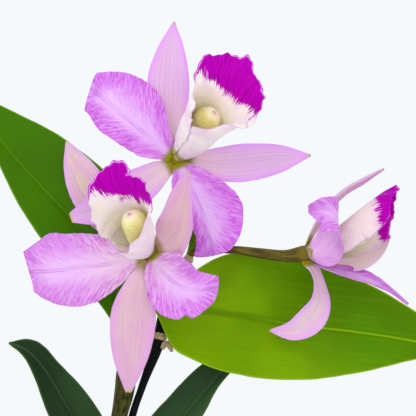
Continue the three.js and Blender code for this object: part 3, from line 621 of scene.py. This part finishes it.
SOFT_GLOW = glow(0.12, 0.0015, 0.0008, 0.0012)
PETAL_PALE = (227, 187, 240)
PETAL_VEIN = (206, 88, 216)
HEART_GREEN = (148, 144, 6)


def petal_look():
    look = Look("petal", 0.55, Specular_IOR_Level=0.12, **SOFT_GLOW)
    s, v, side = look.data("place")
    vein, along, across = look.data("flow")
    edge, warmth, _ = look.data("rim")
    off = abs(v)
    wander = look.noise((across * 0.09, along * 0.09))
    lane = vein + (wander - 0.5) * 0.1
    coarse = look.noise((lane * 44, across * 0.12, along * 0.08), detail=1, roughness=0.4)
    fine = look.noise((lane * 130, across * 0.12, along * 0.16))
    patches = look.noise((across * 0.16, along * 0.12, 2))
    margin = edge.step(12, 1.5) * s.step(0.12, 0.4)
    thin = abs(coarse - 0.5).step(0.075, 0.02)
    broad = fine.step(0.52, 0.62) * 0.6
    veins = look.math("MAXIMUM", thin, broad) * (off.step(0.1, 0.5) * 0.3 + 0.22 + margin * 0.48)
    dashes = fine.step(0.53, 0.6) * patches.step(0.42, 0.56) * edge.step(11, 3)
    broken = look.noise((along * 0.06, across), detail=1)
    midrib = abs(abs(across) - 0.7).step(0.5, 0.1) * s.step(0.15, 0.4) * broken.step(0.35, 0.6)
    colour = look.coats(
        PETAL_PALE,
        ((218, 156, 230), off.step(0.1, 0.6)),
        ((214, 124, 232), margin * 0.5),
        (PETAL_PALE, patches.step(0.5, 0.75) * 0.3),
        ((234, 206, 216), s.step(0.66, 0.14) * 0.85 * warmth),
        (PETAL_VEIN, veins),
        ((222, 178, 206), warmth * 0.22),
        ((190, 50, 200), dashes * 0.75),
        (PETAL_VEIN, midrib * 0.55),
        (HEART_GREEN, s.step(0.09, 0.03)),
        # A paler lilac on the lower skin: partly the back's own tint, partly painted light lifting backs
        # that sit in shade.
        ((236, 172, 240), side.step(0.2, -0.4) * 0.5),
    )
    return look.finish(colour, [(veins, 0.12), (look.grain(2.2), 0.05)])


def sepal_look(name, tone=(255, 255, 255), share=0.0):
    """share mixes the tone in all over."""
    look = Look(name, 0.5, Specular_IOR_Level=0.12, **SOFT_GLOW)
    s, v, side = look.data("place")
    along = look.data("flow")[1]
    edge, warmth, _ = look.data("rim")
    wander = look.noise((v * 2, along * 0.05))
    lane = v + (wander - 0.5) * 0.16
    lines = look.math("PINGPONG", lane * 4.5, 0.5)
    strength = look.noise((lane * 9, along * 0.035, 4))
    soft = look.noise((lane * 18, along * 0.03), detail=3, roughness=0.6)
    cloud = look.noise((v * 1.2, along * 0.06, 7))
    beige = look.mix((218, 197, 178), (218, 176, 194), cloud.step(0.4, 0.64))
    tip = s + (soft - 0.5) * 0.03
    colour = look.coats(
        (226, 192, 212),
        ((219, 178, 218), s.step(0.2, 0.6)),
        (beige, warmth),
        ((224, 156, 236), edge.step(4.5, 0.3) * (warmth * -0.3 + 0.85)),
        # A pale beige at the root: partly its own colour, partly painted light against the shade the lip
        # casts there.
        ((232, 208, 208), s.step(0.38, 0.08) * 0.8),
        ((196, 122, 190), lines.step(0.11, 0) * strength.step(0.3, 0.6) * 0.55),
        ((228, 194, 220), soft.step(0.5, 0.72) * 0.35),
        (HEART_GREEN, s.step(0.14, 0.05)),
        (tone, share),
        ((192, 186, 78), tip.step(0.972, 0.995) * 0.85),
        ((216, 178, 206), side.step(0.2, -0.4) * 0.4),
    )
    return look.finish(colour, [(lines, 0.1), (soft, 0.06), (look.grain(2.2), 0.04)])


def lip_look(name, painted_shade=0.0):
    """Its second argument mixes painted shade, a darker grey beige, into the outside, and dims the pale dots
    on its rim.
    """
    look = Look(name, 0.6, Specular_IOR_Level=0.03, **glow(0.25, 0.003, 0.002, 0.002))
    s, v, side = look.data("place")
    along = look.data("flow")[1]
    edge, beyond, ray = look.data("rim")
    streaks = look.noise((ray * 60, along * 0.07), detail=3, roughness=0.6)
    fine = look.noise((ray * 170, along * 0.12, 3))
    lobed = look.grain(0.16, detail=1)
    inside = side.step(-0.2, 0.4)
    reach = beyond + (lobed - 0.5) * 7 + edge.step(2.6, 0.3) * (s.step(0.6, 0.72) * 5)
    feathered = reach + ((streaks - 0.5) * 7 + (fine - 0.5) * 8)
    magenta = feathered.step(-0.6, 0.5)
    tint = look.grain(0.09)
    cream = look.mix((255, 243, 228), (255, 239, 240), tint.step(0.4, 0.62))
    throat = look.mix((252, 240, 190), (230, 220, 100), s.step(0.46, 0.24))
    rich = look.coats(
        (178, 0, 172),
        ((150, 0, 142), streaks.step(0.42, 0.66)),
        ((198, 2, 196), fine.step(0.5, 0.62) * 0.7),
    )
    beads = look.noise((ray * 150, 0, 9), detail=0)
    band = edge.step(1.3, 0.9) * edge.step(0.15, 0.45)
    rim_dots = band * magenta * beads.step(0.42, 0.5)
    colour = look.coats(
        (255, 240, 236),
        ((248, 222, 230), tint.step(0.36, 0.66)),
        # Painted shade over the outside, set by the second argument.
        ((226, 194, 186), painted_shade),
        (cream, inside),
        (throat, s.step(0.6, 0.36) * abs(v).step(0.8, 0.4) * inside),
        ((224, 150, 236), reach.step(-6, 0) * fine.step(0.45, 0.62) * 0.45),
        ((214, 150, 236), edge.step(0.7, 0.25) * s.step(0.22, 0.32) * 0.75),
        (rich, magenta),
        ((240, 176, 244), rim_dots * (0.8 - 1.4 * painted_shade)),
        (HEART_GREEN, s.step(0.09, 0.02) * 0.85),
    )
    return look.finish(colour, [(streaks, 0.18), (fine, 0.25), (look.grain(3), 0.05)])


def column_look():
    look = Look("column", 0.6, Specular_IOR_Level=0.05, **glow(1.0, 0.01, 0.009, 0.006))
    s = look.data("place")[0]
    dot = look.data("dot")[0]
    mottle = look.grain(0.5)
    fine = look.grain(1.3)
    spot = dot + (mottle - 0.5) * 1.6
    colour = look.coats(
        (214, 206, 106),
        ((214, 206, 130), s.step(0.45, 1)),
        ((232, 220, 176), mottle.step(0.48, 0.58) * 0.55),
        ((222, 210, 140), fine.step(0.5, 0.6) * 0.5),
        ((238, 226, 196), dot.step(6.5, 3) * 0.8),
        ((210, 160, 184), spot.step(2.6, 1.5) * 0.35),
        ((176, 92, 176), spot.step(1.2, 0.8) * 0.9),
    )
    return look.finish(colour, [(mottle, 0.5), (fine, 0.15)])


def leaf_look(name, light, mid, shade, midrib_and_highlight, rim, under, roughness=0.36):
    look = Look(name, roughness, Specular_IOR_Level=0.03)
    s, v, side = look.data("place")
    _, along, across = look.data("flow")
    edge = look.data("rim")[0]
    streak = look.noise((across * 0.5, along * 0.02), detail=3, roughness=0.6)
    hair = look.noise((across * 3.5, along * 0.05, 2))
    cloud = look.grain(0.022)
    off = abs(across)
    colour = look.coats(
        light,
        # Painted light and shade: lighter towards the root and the lower side, darker towards the tip and
        # the upper side.
        (mid, (s - v * 0.18).step(0.3, 0.7)),
        (shade, cloud.step(0.4, 0.68) * 0.6),
        (light, streak.step(0.45, 0.7) * 0.22),
        (mid, hair.step(0.45, 0.7) * 0.35),
        # Painted shade in the crease along the midrib's fold.
        (shade, off.step(3.2, 0.4) * s.step(0.75, 0.3) * 0.6),
        # A paler line down the midrib: partly its own colour, partly a painted highlight on its ridge.
        (midrib_and_highlight, off.step(0.8, 0.25) * s.step(0.28, 0.6) * 0.8),
        (rim, edge.step(0.9, 0.3) * 0.8),
        (under, side.step(0.2, -0.4) * 0.65),
    )
    bumps = [(streak, 0.09), (hair, 0.05), (look.grain(1.6, detail=3), 0.04)]
    return look.finish(colour, bumps, Roughness=cloud * 0.14 + (roughness - 0.06))


def stem_look(name, base, streak, shade, tip=None):
    look = Look(name, 0.5, Specular_IOR_Level=0.05)
    s = look.data("place")[0]
    around, along, up = look.data("flow")
    fibre = look.noise((around * 5, up * 5, along * 0.05), detail=3, roughness=0.6)
    patch = look.noise((around * 1.2, up * 1.2, along * 0.09))
    colour = look.coats(base, (streak, fibre.step(0.44, 0.62)), (shade, patch.step(0.46, 0.62) * 0.75))
    if tip:
        colour = look.mix(colour, tip, s.step(0.9, 0.99) * 0.9)
    return look.finish(colour, [(fibre, 0.3), (patch, 0.3)])


def sheath_look():
    look = Look("sheath", 0.75)
    around, along, up = look.data("flow")
    fibre = look.noise((around * 9, up * 9, along * 0.04), detail=3, roughness=0.65)
    blotch = look.grain(0.16, detail=3)
    colour = look.coats(
        (193, 172, 128),
        ((150, 122, 82), fibre.step(0.4, 0.66)),
        ((112, 86, 58), blotch.step(0.5, 0.7) * 0.6),
    )
    return look.finish(colour, [(fibre, 0.4)])


def root_look():
    look = Look("root", 0.7)
    skin = look.grain(0.7, detail=4, roughness=0.6)
    patch = look.grain(0.12)
    colour = look.coats(
        (176, 172, 146),
        ((206, 204, 186), skin.step(0.4, 0.65)),
        ((118, 122, 84), patch.step(0.48, 0.66) * 0.55),
        ((92, 74, 50), skin.step(0.66, 0.74) * 0.6),
    )
    return look.finish(colour, [(skin, 0.3)])


def rhizome_look():
    look = Look("rhizome", 0.75)
    along = look.data("flow")[1]
    skin = look.grain(0.5, detail=4, roughness=0.65)
    rings = look.math("PINGPONG", along * 0.16, 0.5)
    colour = look.coats(
        (120, 98, 62),
        ((86, 74, 48), skin.step(0.4, 0.66)),
        ((168, 146, 104), rings.step(0.12, 0.02) * 0.7),
    )
    return look.finish(colour, [(skin, 0.5), (rings, 0.5)])


def bark_look(name, dark=1.0):
    """dark below 1 darkens all of its colours."""
    look = Look(name, 0.85, Specular_IOR_Level=0.3)
    own = look.data("own")[0]
    fibre = look.grain(0.55, detail=5, roughness=0.65, distortion=0.6)
    layers = look.noise(look.stretched(0.1, 0.35, 1.1), detail=3, roughness=0.6)
    browns = [(150, 102, 68), (92, 56, 36), (58, 38, 27), (172, 128, 92), (70, 44, 30)]
    light, brown, crack, worn, damp = (tuple(c * dark for c in colour) for colour in browns)
    colour = look.coats(
        light,
        (brown, fibre.step(0.38, 0.66)),
        (crack, layers.step(0.5, 0.7) * 0.7),
        (worn, own.step(0.62, 1) * 0.5),
        (damp, own.step(0.38, 0) * 0.6),
    )
    return look.finish(colour, [(fibre, 0.6), (layers, 0.5)])


def pot_look():
    look = Look("terracotta", 0.82, Specular_IOR_Level=0.3)
    height = look.parts(look.everywhere())[2]
    cloud = look.grain(0.035, detail=3, roughness=0.55)
    grit = look.grain(1.6, detail=4, roughness=0.7)
    speck = look.grain(3.4)
    damp = height + (cloud - 0.5) * 40
    bloom = look.grain(0.07, detail=3, roughness=0.6).step(0.56, 0.72) * height.step(30, 78)
    turning = look.noise(look.stretched(0.004, 0.004, 0.9), detail=3)
    colour = look.coats(
        (196, 120, 84),
        ((178, 99, 66), cloud.step(0.36, 0.66)),
        ((210, 142, 108), grit.step(0.5, 0.72) * 0.5),
        ((150, 82, 56), damp.step(26, 4) * 0.45),
        ((216, 180, 158), bloom * 0.45),
        ((120, 66, 46), speck.step(0.68, 0.76) * 0.5),
    )
    return look.finish(colour, [(turning, 0.35), (grit, 0.25)])


# Leaves: light and middle green (between them painted light and shade down the blade), a darker green for
# random clouds and painted shade along the fold, the midrib's green (partly a painted highlight), rim and
# underside. Stems: base, streaks, shade and tip.
PETAL = petal_look()
SEPAL = sepal_look("sepal")
# Painted light: a pale tone over the whole sepal, lifting bloom C's far sepal where it sits in shade.
SEPAL_PAINTED_LIGHT = sepal_look("sepal_painted_light", (252, 240, 234), 0.6)
SEPAL_DEEP = sepal_look("sepal_deep", (204, 140, 178), 0.34)
LIP = lip_look("lip")
# The lip with painted shade on its outside, for bloom C.
LIP_PAINTED_SHADE = lip_look("lip_painted_shade", 0.45)
COLUMN = column_look()
LEAF_RIGHT = leaf_look(
    "leaf_bright", (119, 160, 0), (80, 130, 0), (76, 114, 0), (140, 178, 10), (150, 184, 30), (112, 146, 40))
LEAF_LEFT = leaf_look(
    "leaf_deep", (66, 118, 1), (62, 112, 1), (56, 100, 4), (80, 130, 10), (112, 158, 14), (92, 128, 36))
LEAF_DARK = leaf_look(
    "leaf_dark", (46, 70, 40), (34, 53, 31), (27, 42, 25), (60, 84, 54), (64, 96, 20), (52, 76, 42), 0.42)
LEAF_DUSKY = leaf_look(
    "leaf_dusky", (58, 86, 52), (46, 70, 42), (38, 58, 35), (72, 98, 64), (70, 102, 26), (60, 86, 50), 0.42)
# The flowering cane's near-black is painted shade: its stem colours darkened to the shadow it stands in.
CANE_PAINTED_SHADE = stem_look("cane_dark", (10, 12, 12), (20, 24, 20), (6, 7, 8))
CANE_OLIVE = stem_look("cane_olive", (78, 74, 28), (52, 54, 24), (26, 30, 18))
SPIKE_GREEN = stem_look("spike", (94, 142, 6), (76, 118, 4), (66, 92, 12), (136, 126, 18))
STALK = stem_look("stalk", (112, 100, 40), (82, 75, 32), (64, 50, 26), (118, 104, 40))
SHEATH = sheath_look()
ROOT = root_look()
RHIZOME_SKIN = rhizome_look()
BARK = bark_look("bark")
BED = bark_look("bed", 0.7)
TERRACOTTA = pot_look()


# ---- blooms ----

def sepal_relief(S, V, U):
    """A shallow channel down the middle and fine ribs beside it."""
    fade = np.clip(S * 5, 0, 1) * np.clip((1 - S) * 6, 0, 1)
    channel = -0.35 * np.exp(-((U / 0.9) ** 2)) * fade
    return channel + 0.06 * np.cos(V * 4.5 * TURN) * fade


def petal_relief(S, V, U):
    """A channel down the middle and shallow puckers beside it."""
    fade = np.clip(S * 5, 0, 1) * np.clip((1 - S) * 2, 0, 1)
    channel = -0.5 * np.exp(-((U / 0.9) ** 2)) * fade
    puckers = 0.12 * np.sin(U * 1.1 + 5 * S) * np.sin(S * 17 + U * 0.3) * np.clip(S * 3, 0, 1)
    return channel + puckers


def lip_relief(S, V, U):
    """Fine pleats that run out from the throat to the frill, and a keel down the throat."""
    pleats = 0.09 * np.sin(ray_angle(S, U) * 74 + 2 * np.sin(S * 6)) * smooth(S, 0.45, 0.75)
    keel = 0.5 * np.exp(-((U / 1.2) ** 2)) * smooth(S, 0.1, 0.3) * (1 - smooth(S, 0.5, 0.75))
    return pleats + keel


# Each kind of blade: its points along and across, its thickness, and how uneven its rim is.
BLADES = dict(
    sepal=dict(rows=81, columns=33, thickness=0.8, relief=sepal_relief, fray=0.1),
    petal=dict(rows=97, columns=65, thickness=0.6, relief=petal_relief, fray=0.3),
    lip=dict(rows=161, columns=141, thickness=0.6, relief=lip_relief, fray=0.55),
)
LOOKS = dict(sepal=SEPAL, petal=PETAL, lip=LIP)
OWN_LOOKS = dict(
    bloom_b_sepal_low=SEPAL_DEEP,
    bloom_b_sepal_right=SEPAL_DEEP,
    # painted light on bloom C's far sepal
    bloom_c_sepal_far=SEPAL_PAINTED_LIGHT,
    # painted shade on bloom C's lip
    bloom_c_lip=LIP_PAINTED_SHADE,
)


def make_blooms():
    seed = 3
    for bloom, forms in dict(bloom_a=BLOOM_A, bloom_b=BLOOM_B, bloom_c=BLOOM_C).items():
        for part, form in forms.items():
            name = f"{bloom}_{part}"
            kind = part.split("_")[0]
            seed += 5
            make_blade(name, form, OWN_LOOKS.get(name, LOOKS[kind]), kind, seed=seed, **BLADES[kind])
    for name, form in COLUMNS.items():
        make_tube(name, form, COLUMN, "column", 48, 40, name)


# ---- leaves, canes and stalks ----

def leaf_relief(S, V, U):
    """The fold along the midrib, and a slight roll of the blade beside it."""
    fade = np.clip(S * 6, 0, 1) * np.clip((1 - S) * 5, 0, 1)
    fold = -1.1 * np.exp(-np.abs(U) / 2.2) * fade
    rolls = 0.22 * np.sin(S * 9 + V) * (1 - np.abs(V)) * fade
    return fold + rolls + 0.03 * np.cos(U * 2.4) * fade


LEAF_BLADE = dict(rows=141, columns=49, thickness=1.1, relief=leaf_relief, fray=0.15, seed=50)
LEAF_STYLES = dict(
    leaf_right=(LEAF_RIGHT, "leaf"),
    leaf_left=(LEAF_LEFT, "leaf"),
    leaf_low_left=(LEAF_DARK, "leaf_dark"),
    leaf_low_right=(LEAF_DUSKY, "leaf_dark"),
)
OLIVE_CANE = dict(material=CANE_OLIVE, slot="cane_olive", rings=120, sides=36, ribs=9, depth=0.035)
BLOOM_STALK = dict(material=STALK, slot="stalk", rings=80, sides=28, ribs=6, depth=0.03)
STEM_STYLES = dict(
    # The flowering cane takes the near-black of painted shade.
    cane_flowering=dict(material=CANE_PAINTED_SHADE, slot="cane_dark", rings=120, sides=32, ribs=8, depth=0.03),
    cane_second=OLIVE_CANE,
    cane_third=OLIVE_CANE,
    flower_spike=dict(BLOOM_STALK, material=SPIKE_GREEN),
    bloom_b_stalk=BLOOM_STALK,
    bloom_c_stalk=BLOOM_STALK,
)


def make_ring(name, stem, at, half):
    """A thin dry collar around a stem, thickest in its middle."""
    form = STEMS[stem]
    s = np.linspace(at - half, at + half, 9)
    radius = spline(form["radius"], s) + spline([0.35, 0.8, 0.35], np.linspace(0, 1, 9))
    make_tube(name, dict(line=spline(form["line"], s), radius=radius), SHEATH, "sheath", 24, 32)


def make_sheath(name, cane, start, end):
    """A papery sleeve around a cane, open and torn at its top."""
    form = STEMS[cane]
    s = np.linspace(start, end, 40)
    turn = np.linspace(0, TURN, 49)
    along = tangent(form["line"], s)
    share = np.linspace(0, 1, len(s))[:, None]
    torn = ripple(3 * np.cos(turn) + 2 * np.sin(2 * turn), len(name)) - ripple(np.array([0.0]), 1)
    loose = 0.9 + 0.5 * share + 0.25 * np.cos(7 * turn + 2 * share) * (0.4 + share)
    points = hoops(spline(form["line"], s), along, spline(form["radius"], s)[:, None] + loose, turn)
    points += along[:, None] * (1.6 * torn * share**3)[..., None]
    vertices, faces = shell(points, 0.25)
    S, V = np.meshgrid(share[:, 0], turn / TURN, indexing="ij")
    data = on_skins((S, V), flow=(np.cos(TURN * V), S * 30, np.sin(TURN * V)))
    piece(name, vertices, faces, SHEATH, name, data)


def make_leaves_and_stems():
    for name, form in LEAVES.items():
        make_blade(name, form, *LEAF_STYLES[name], **LEAF_BLADE)
    for name, form in STEMS.items():
        make_tube(name, form, node=name, **STEM_STYLES[name])
    for name, ring in BRACT_RINGS.items():
        make_ring(name, **ring)
    for name, sheath in SHEATHS.items():
        make_sheath(name, **sheath)
    make_blade("sheath_scrap", SHEATH_SCRAP, SHEATH, "sheath", 0.4, rows=30, columns=15, fray=0.25, seed=8)


# ---- roots, medium and pot ----

def make_roots():
    make_tube("rhizome", RHIZOME, RHIZOME_SKIN, "root", 90, 32, "rhizome")
    for number, line in enumerate(ROOTS):
        make_tube(f"root_{number}", dict(line=line, radius=ROOT_RADIUS), ROOT, "root", 40, 20)


def rounded_path(corners, radius, steps=6):
    """A line through the corners, each corner taken round by a small arc."""
    corners = np.asarray(corners, float)
    path = [corners[0]]
    for before, corner, after in zip(corners, corners[1:], corners[2:]):
        into, out = before - corner, after - corner
        reach = min(radius, np.linalg.norm(into) / 2.2, np.linalg.norm(out) / 2.2)
        start, end = corner + unit(into) * reach, corner + unit(out) * reach
        for t in np.linspace(0, 1, steps):
            path.append((1 - t) ** 2 * start + 2 * t * (1 - t) * corner + t**2 * end)
    path.append(corners[-1])
    return np.array(path)


def resampled(path, pitch):
    """The same line with points no further apart than pitch."""
    dense = [path[0]]
    for a, b in zip(path, path[1:]):
        steps = max(1, math.ceil(np.linalg.norm(b - a) / pitch))
        dense += [a + (b - a) * k / steps for k in range(1, steps + 1)]
    return np.array(dense)


def make_pot(bottom, shoulder, rim, mouth, height, rim_height, wall, floor):
    """The pot's profile turned about the upright axis, very slightly out of round."""
    centre = 0.5
    foot = height - rim_height
    outside = [[centre, 0], [bottom, 0], [shoulder, foot], [rim, foot + 1], [rim, height]]
    inside = [[mouth, height], [shoulder - wall, foot], [bottom - wall, floor], [centre, floor]]
    profile = resampled(rounded_path(outside + inside, 1.8), 3.0)
    turn = np.linspace(0, TURN, 144, endpoint=False)
    wobble = 1 + 0.0012 * np.sin(3 * turn + 1) + 0.0008 * np.sin(5 * turn)
    x = profile[:, :1] * np.cos(turn) * wobble
    y = profile[:, :1] * np.sin(turn) * wobble
    points = np.stack([x, y, np.broadcast_to(profile[:, 1:], x.shape)], -1)
    piece("pot", points, closed_rings(points[:, ::-1]), TERRACOTTA, "pot")


CHIP_SIZE = [15, 9.5, 3.6]
CHIP_POINTS = 5
CHIPS = dict(count=190, spread=46, furthest=50.3, step=math.radians(137.5))
BED_RIM = 49.8


def bark_chip(rng):
    """The upper and then the lower points of a flat chip with broken edges, about its own centre."""
    size = np.array(CHIP_SIZE) * rng.uniform(0.62, 1.15, 3)
    line = np.linspace(-1, 1, CHIP_POINTS)
    u, v = np.meshgrid(line, line, indexing="ij")
    corner = 1 - 0.22 * np.abs(u * v) ** 3
    x = u * corner + 0.09 * rng.standard_normal(u.shape) * (np.abs(u) == 1)
    y = v * corner + 0.12 * rng.standard_normal(u.shape) * (np.abs(v) == 1)
    bow = 0.25 * rng.uniform(-1, 1) * u**2
    top = np.stack([x, y, 1 + bow + 0.22 * rng.standard_normal(u.shape)], -1)
    low = np.stack([x * 0.94, y * 0.92, -1 + bow + 0.22 * rng.standard_normal(u.shape)], -1)
    return np.concatenate([grid.swapaxes(0, 1).reshape(-1, 3) for grid in (top, low)]) * size / 2


def make_chips(rng, count, spread, furthest, step):
    """Bark chips of many sizes and shades, set out on a spiral and tilted every way."""
    vertices, faces, own = [], [], []
    for k in range(count):
        out = spread * math.sqrt((k + 0.5) / count)
        chip = bark_chip(rng)
        tilt_x, tilt_y = rng.uniform(-0.45, 0.45, 2)
        chip = chip @ np.array(Euler((tilt_x, tilt_y, rng.uniform(0, TURN))).to_matrix()).T
        height = MEDIUM_TOP + rng.uniform(-1.2, 2.6)
        chip += [out * math.cos(k * step), out * math.sin(k * step), height]
        outside = np.hypot(chip[:, 0], chip[:, 1])
        chip[:, :2] *= (np.minimum(outside, furthest) / np.maximum(outside, 1e-6))[:, None]
        start = k * len(chip)
        faces += [[start + corner for corner in face] for face in skin_faces(CHIP_POINTS, CHIP_POINTS)]
        vertices.append(chip)
        own.append(np.full_like(chip, rng.uniform(0, 1)))
    piece("bark_chips", vertices, faces, BARK, "growing_medium", {"own": own}, smooth=False)


def make_bed(rng):
    """The rough dark bed under the chips."""
    turn = np.linspace(0, TURN, 72, endpoint=False)
    R, T = np.meshgrid(np.linspace(0.5, BED_RIM, 26), turn, indexing="ij")
    rough = rng.standard_normal(R.shape) * 0.5
    x, y = R * np.cos(T), R * np.sin(T)
    top = np.stack([x, y, MEDIUM_TOP - 1.2 + rough], -1)
    low = np.stack([x * 0.97, y * 0.97, np.full(R.shape, MEDIUM_TOP - 8)], -1)
    points = np.concatenate([low, top[::-1]])
    piece("bark_bed", points, closed_rings(points), BED, data={"own": np.full(points.shape, 0.3)})


def make_medium():
    rng = np.random.default_rng(11)
    make_chips(rng, **CHIPS)
    make_bed(rng)


# ---- stage ----

FLOOR_RADIUS = 1.9
LIGHT_WIDTH = 0.8
BACKGROUND = (245, 249, 252)


def make_floor():
    look = Look("floor", 0.9)
    material = look.finish(look.mix((243, 246, 249), (246, 249, 252), look.grain(0.004)), [])
    turn = np.linspace(0, TURN, 96, endpoint=False)
    disc = [(FLOOR_RADIUS * math.cos(a), FLOOR_RADIUS * math.sin(a), 0.0) for a in turn]
    mesh = bpy.data.meshes.new("floor")
    mesh.from_pydata(disc, [], [list(range(len(disc)))])
    mesh.materials.append(material)
    in_scene("floor", mesh)


def make_light(name, place, aim, watts):
    lamp = bpy.data.lights.new(name, "AREA")
    lamp.shape = "DISK"
    lamp.size = LIGHT_WIDTH
    lamp.energy = watts
    made = in_scene(name, lamp)
    made.location = place
    made.rotation_euler = (Vector(aim) - Vector(place)).to_track_quat("-Z", "Y").to_euler()


def make_camera():
    """A long lens that looks straight along +Y."""
    camera = bpy.data.cameras.new("camera")
    camera.lens = 207.7
    camera.sensor_width = 36
    camera.clip_start = 0.01
    camera.clip_end = 50
    made = in_scene("camera", camera)
    made.location = (0.044, -1.2, 0.284)
    made.rotation_euler = (math.pi / 2, 0, 0)
    bpy.context.scene.camera = made


def make_world():
    world = bpy.data.worlds.new("studio")
    world.use_nodes = True
    world.node_tree.nodes["Background"].inputs["Color"].default_value = paint(*BACKGROUND)
    bpy.context.scene.world = world
    bpy.context.scene.view_settings.view_transform = "Standard"


make_blooms()
make_leaves_and_stems()
make_roots()
make_pot(**POT)
make_medium()
make_floor()
make_light("key", (-0.6, -1.5, 1.1), (0.03, 0, 0.28), 5)
make_light("fill", (0.35, -1.6, 0.5), (0.05, 0, 0.25), 4)
make_camera()
make_world()
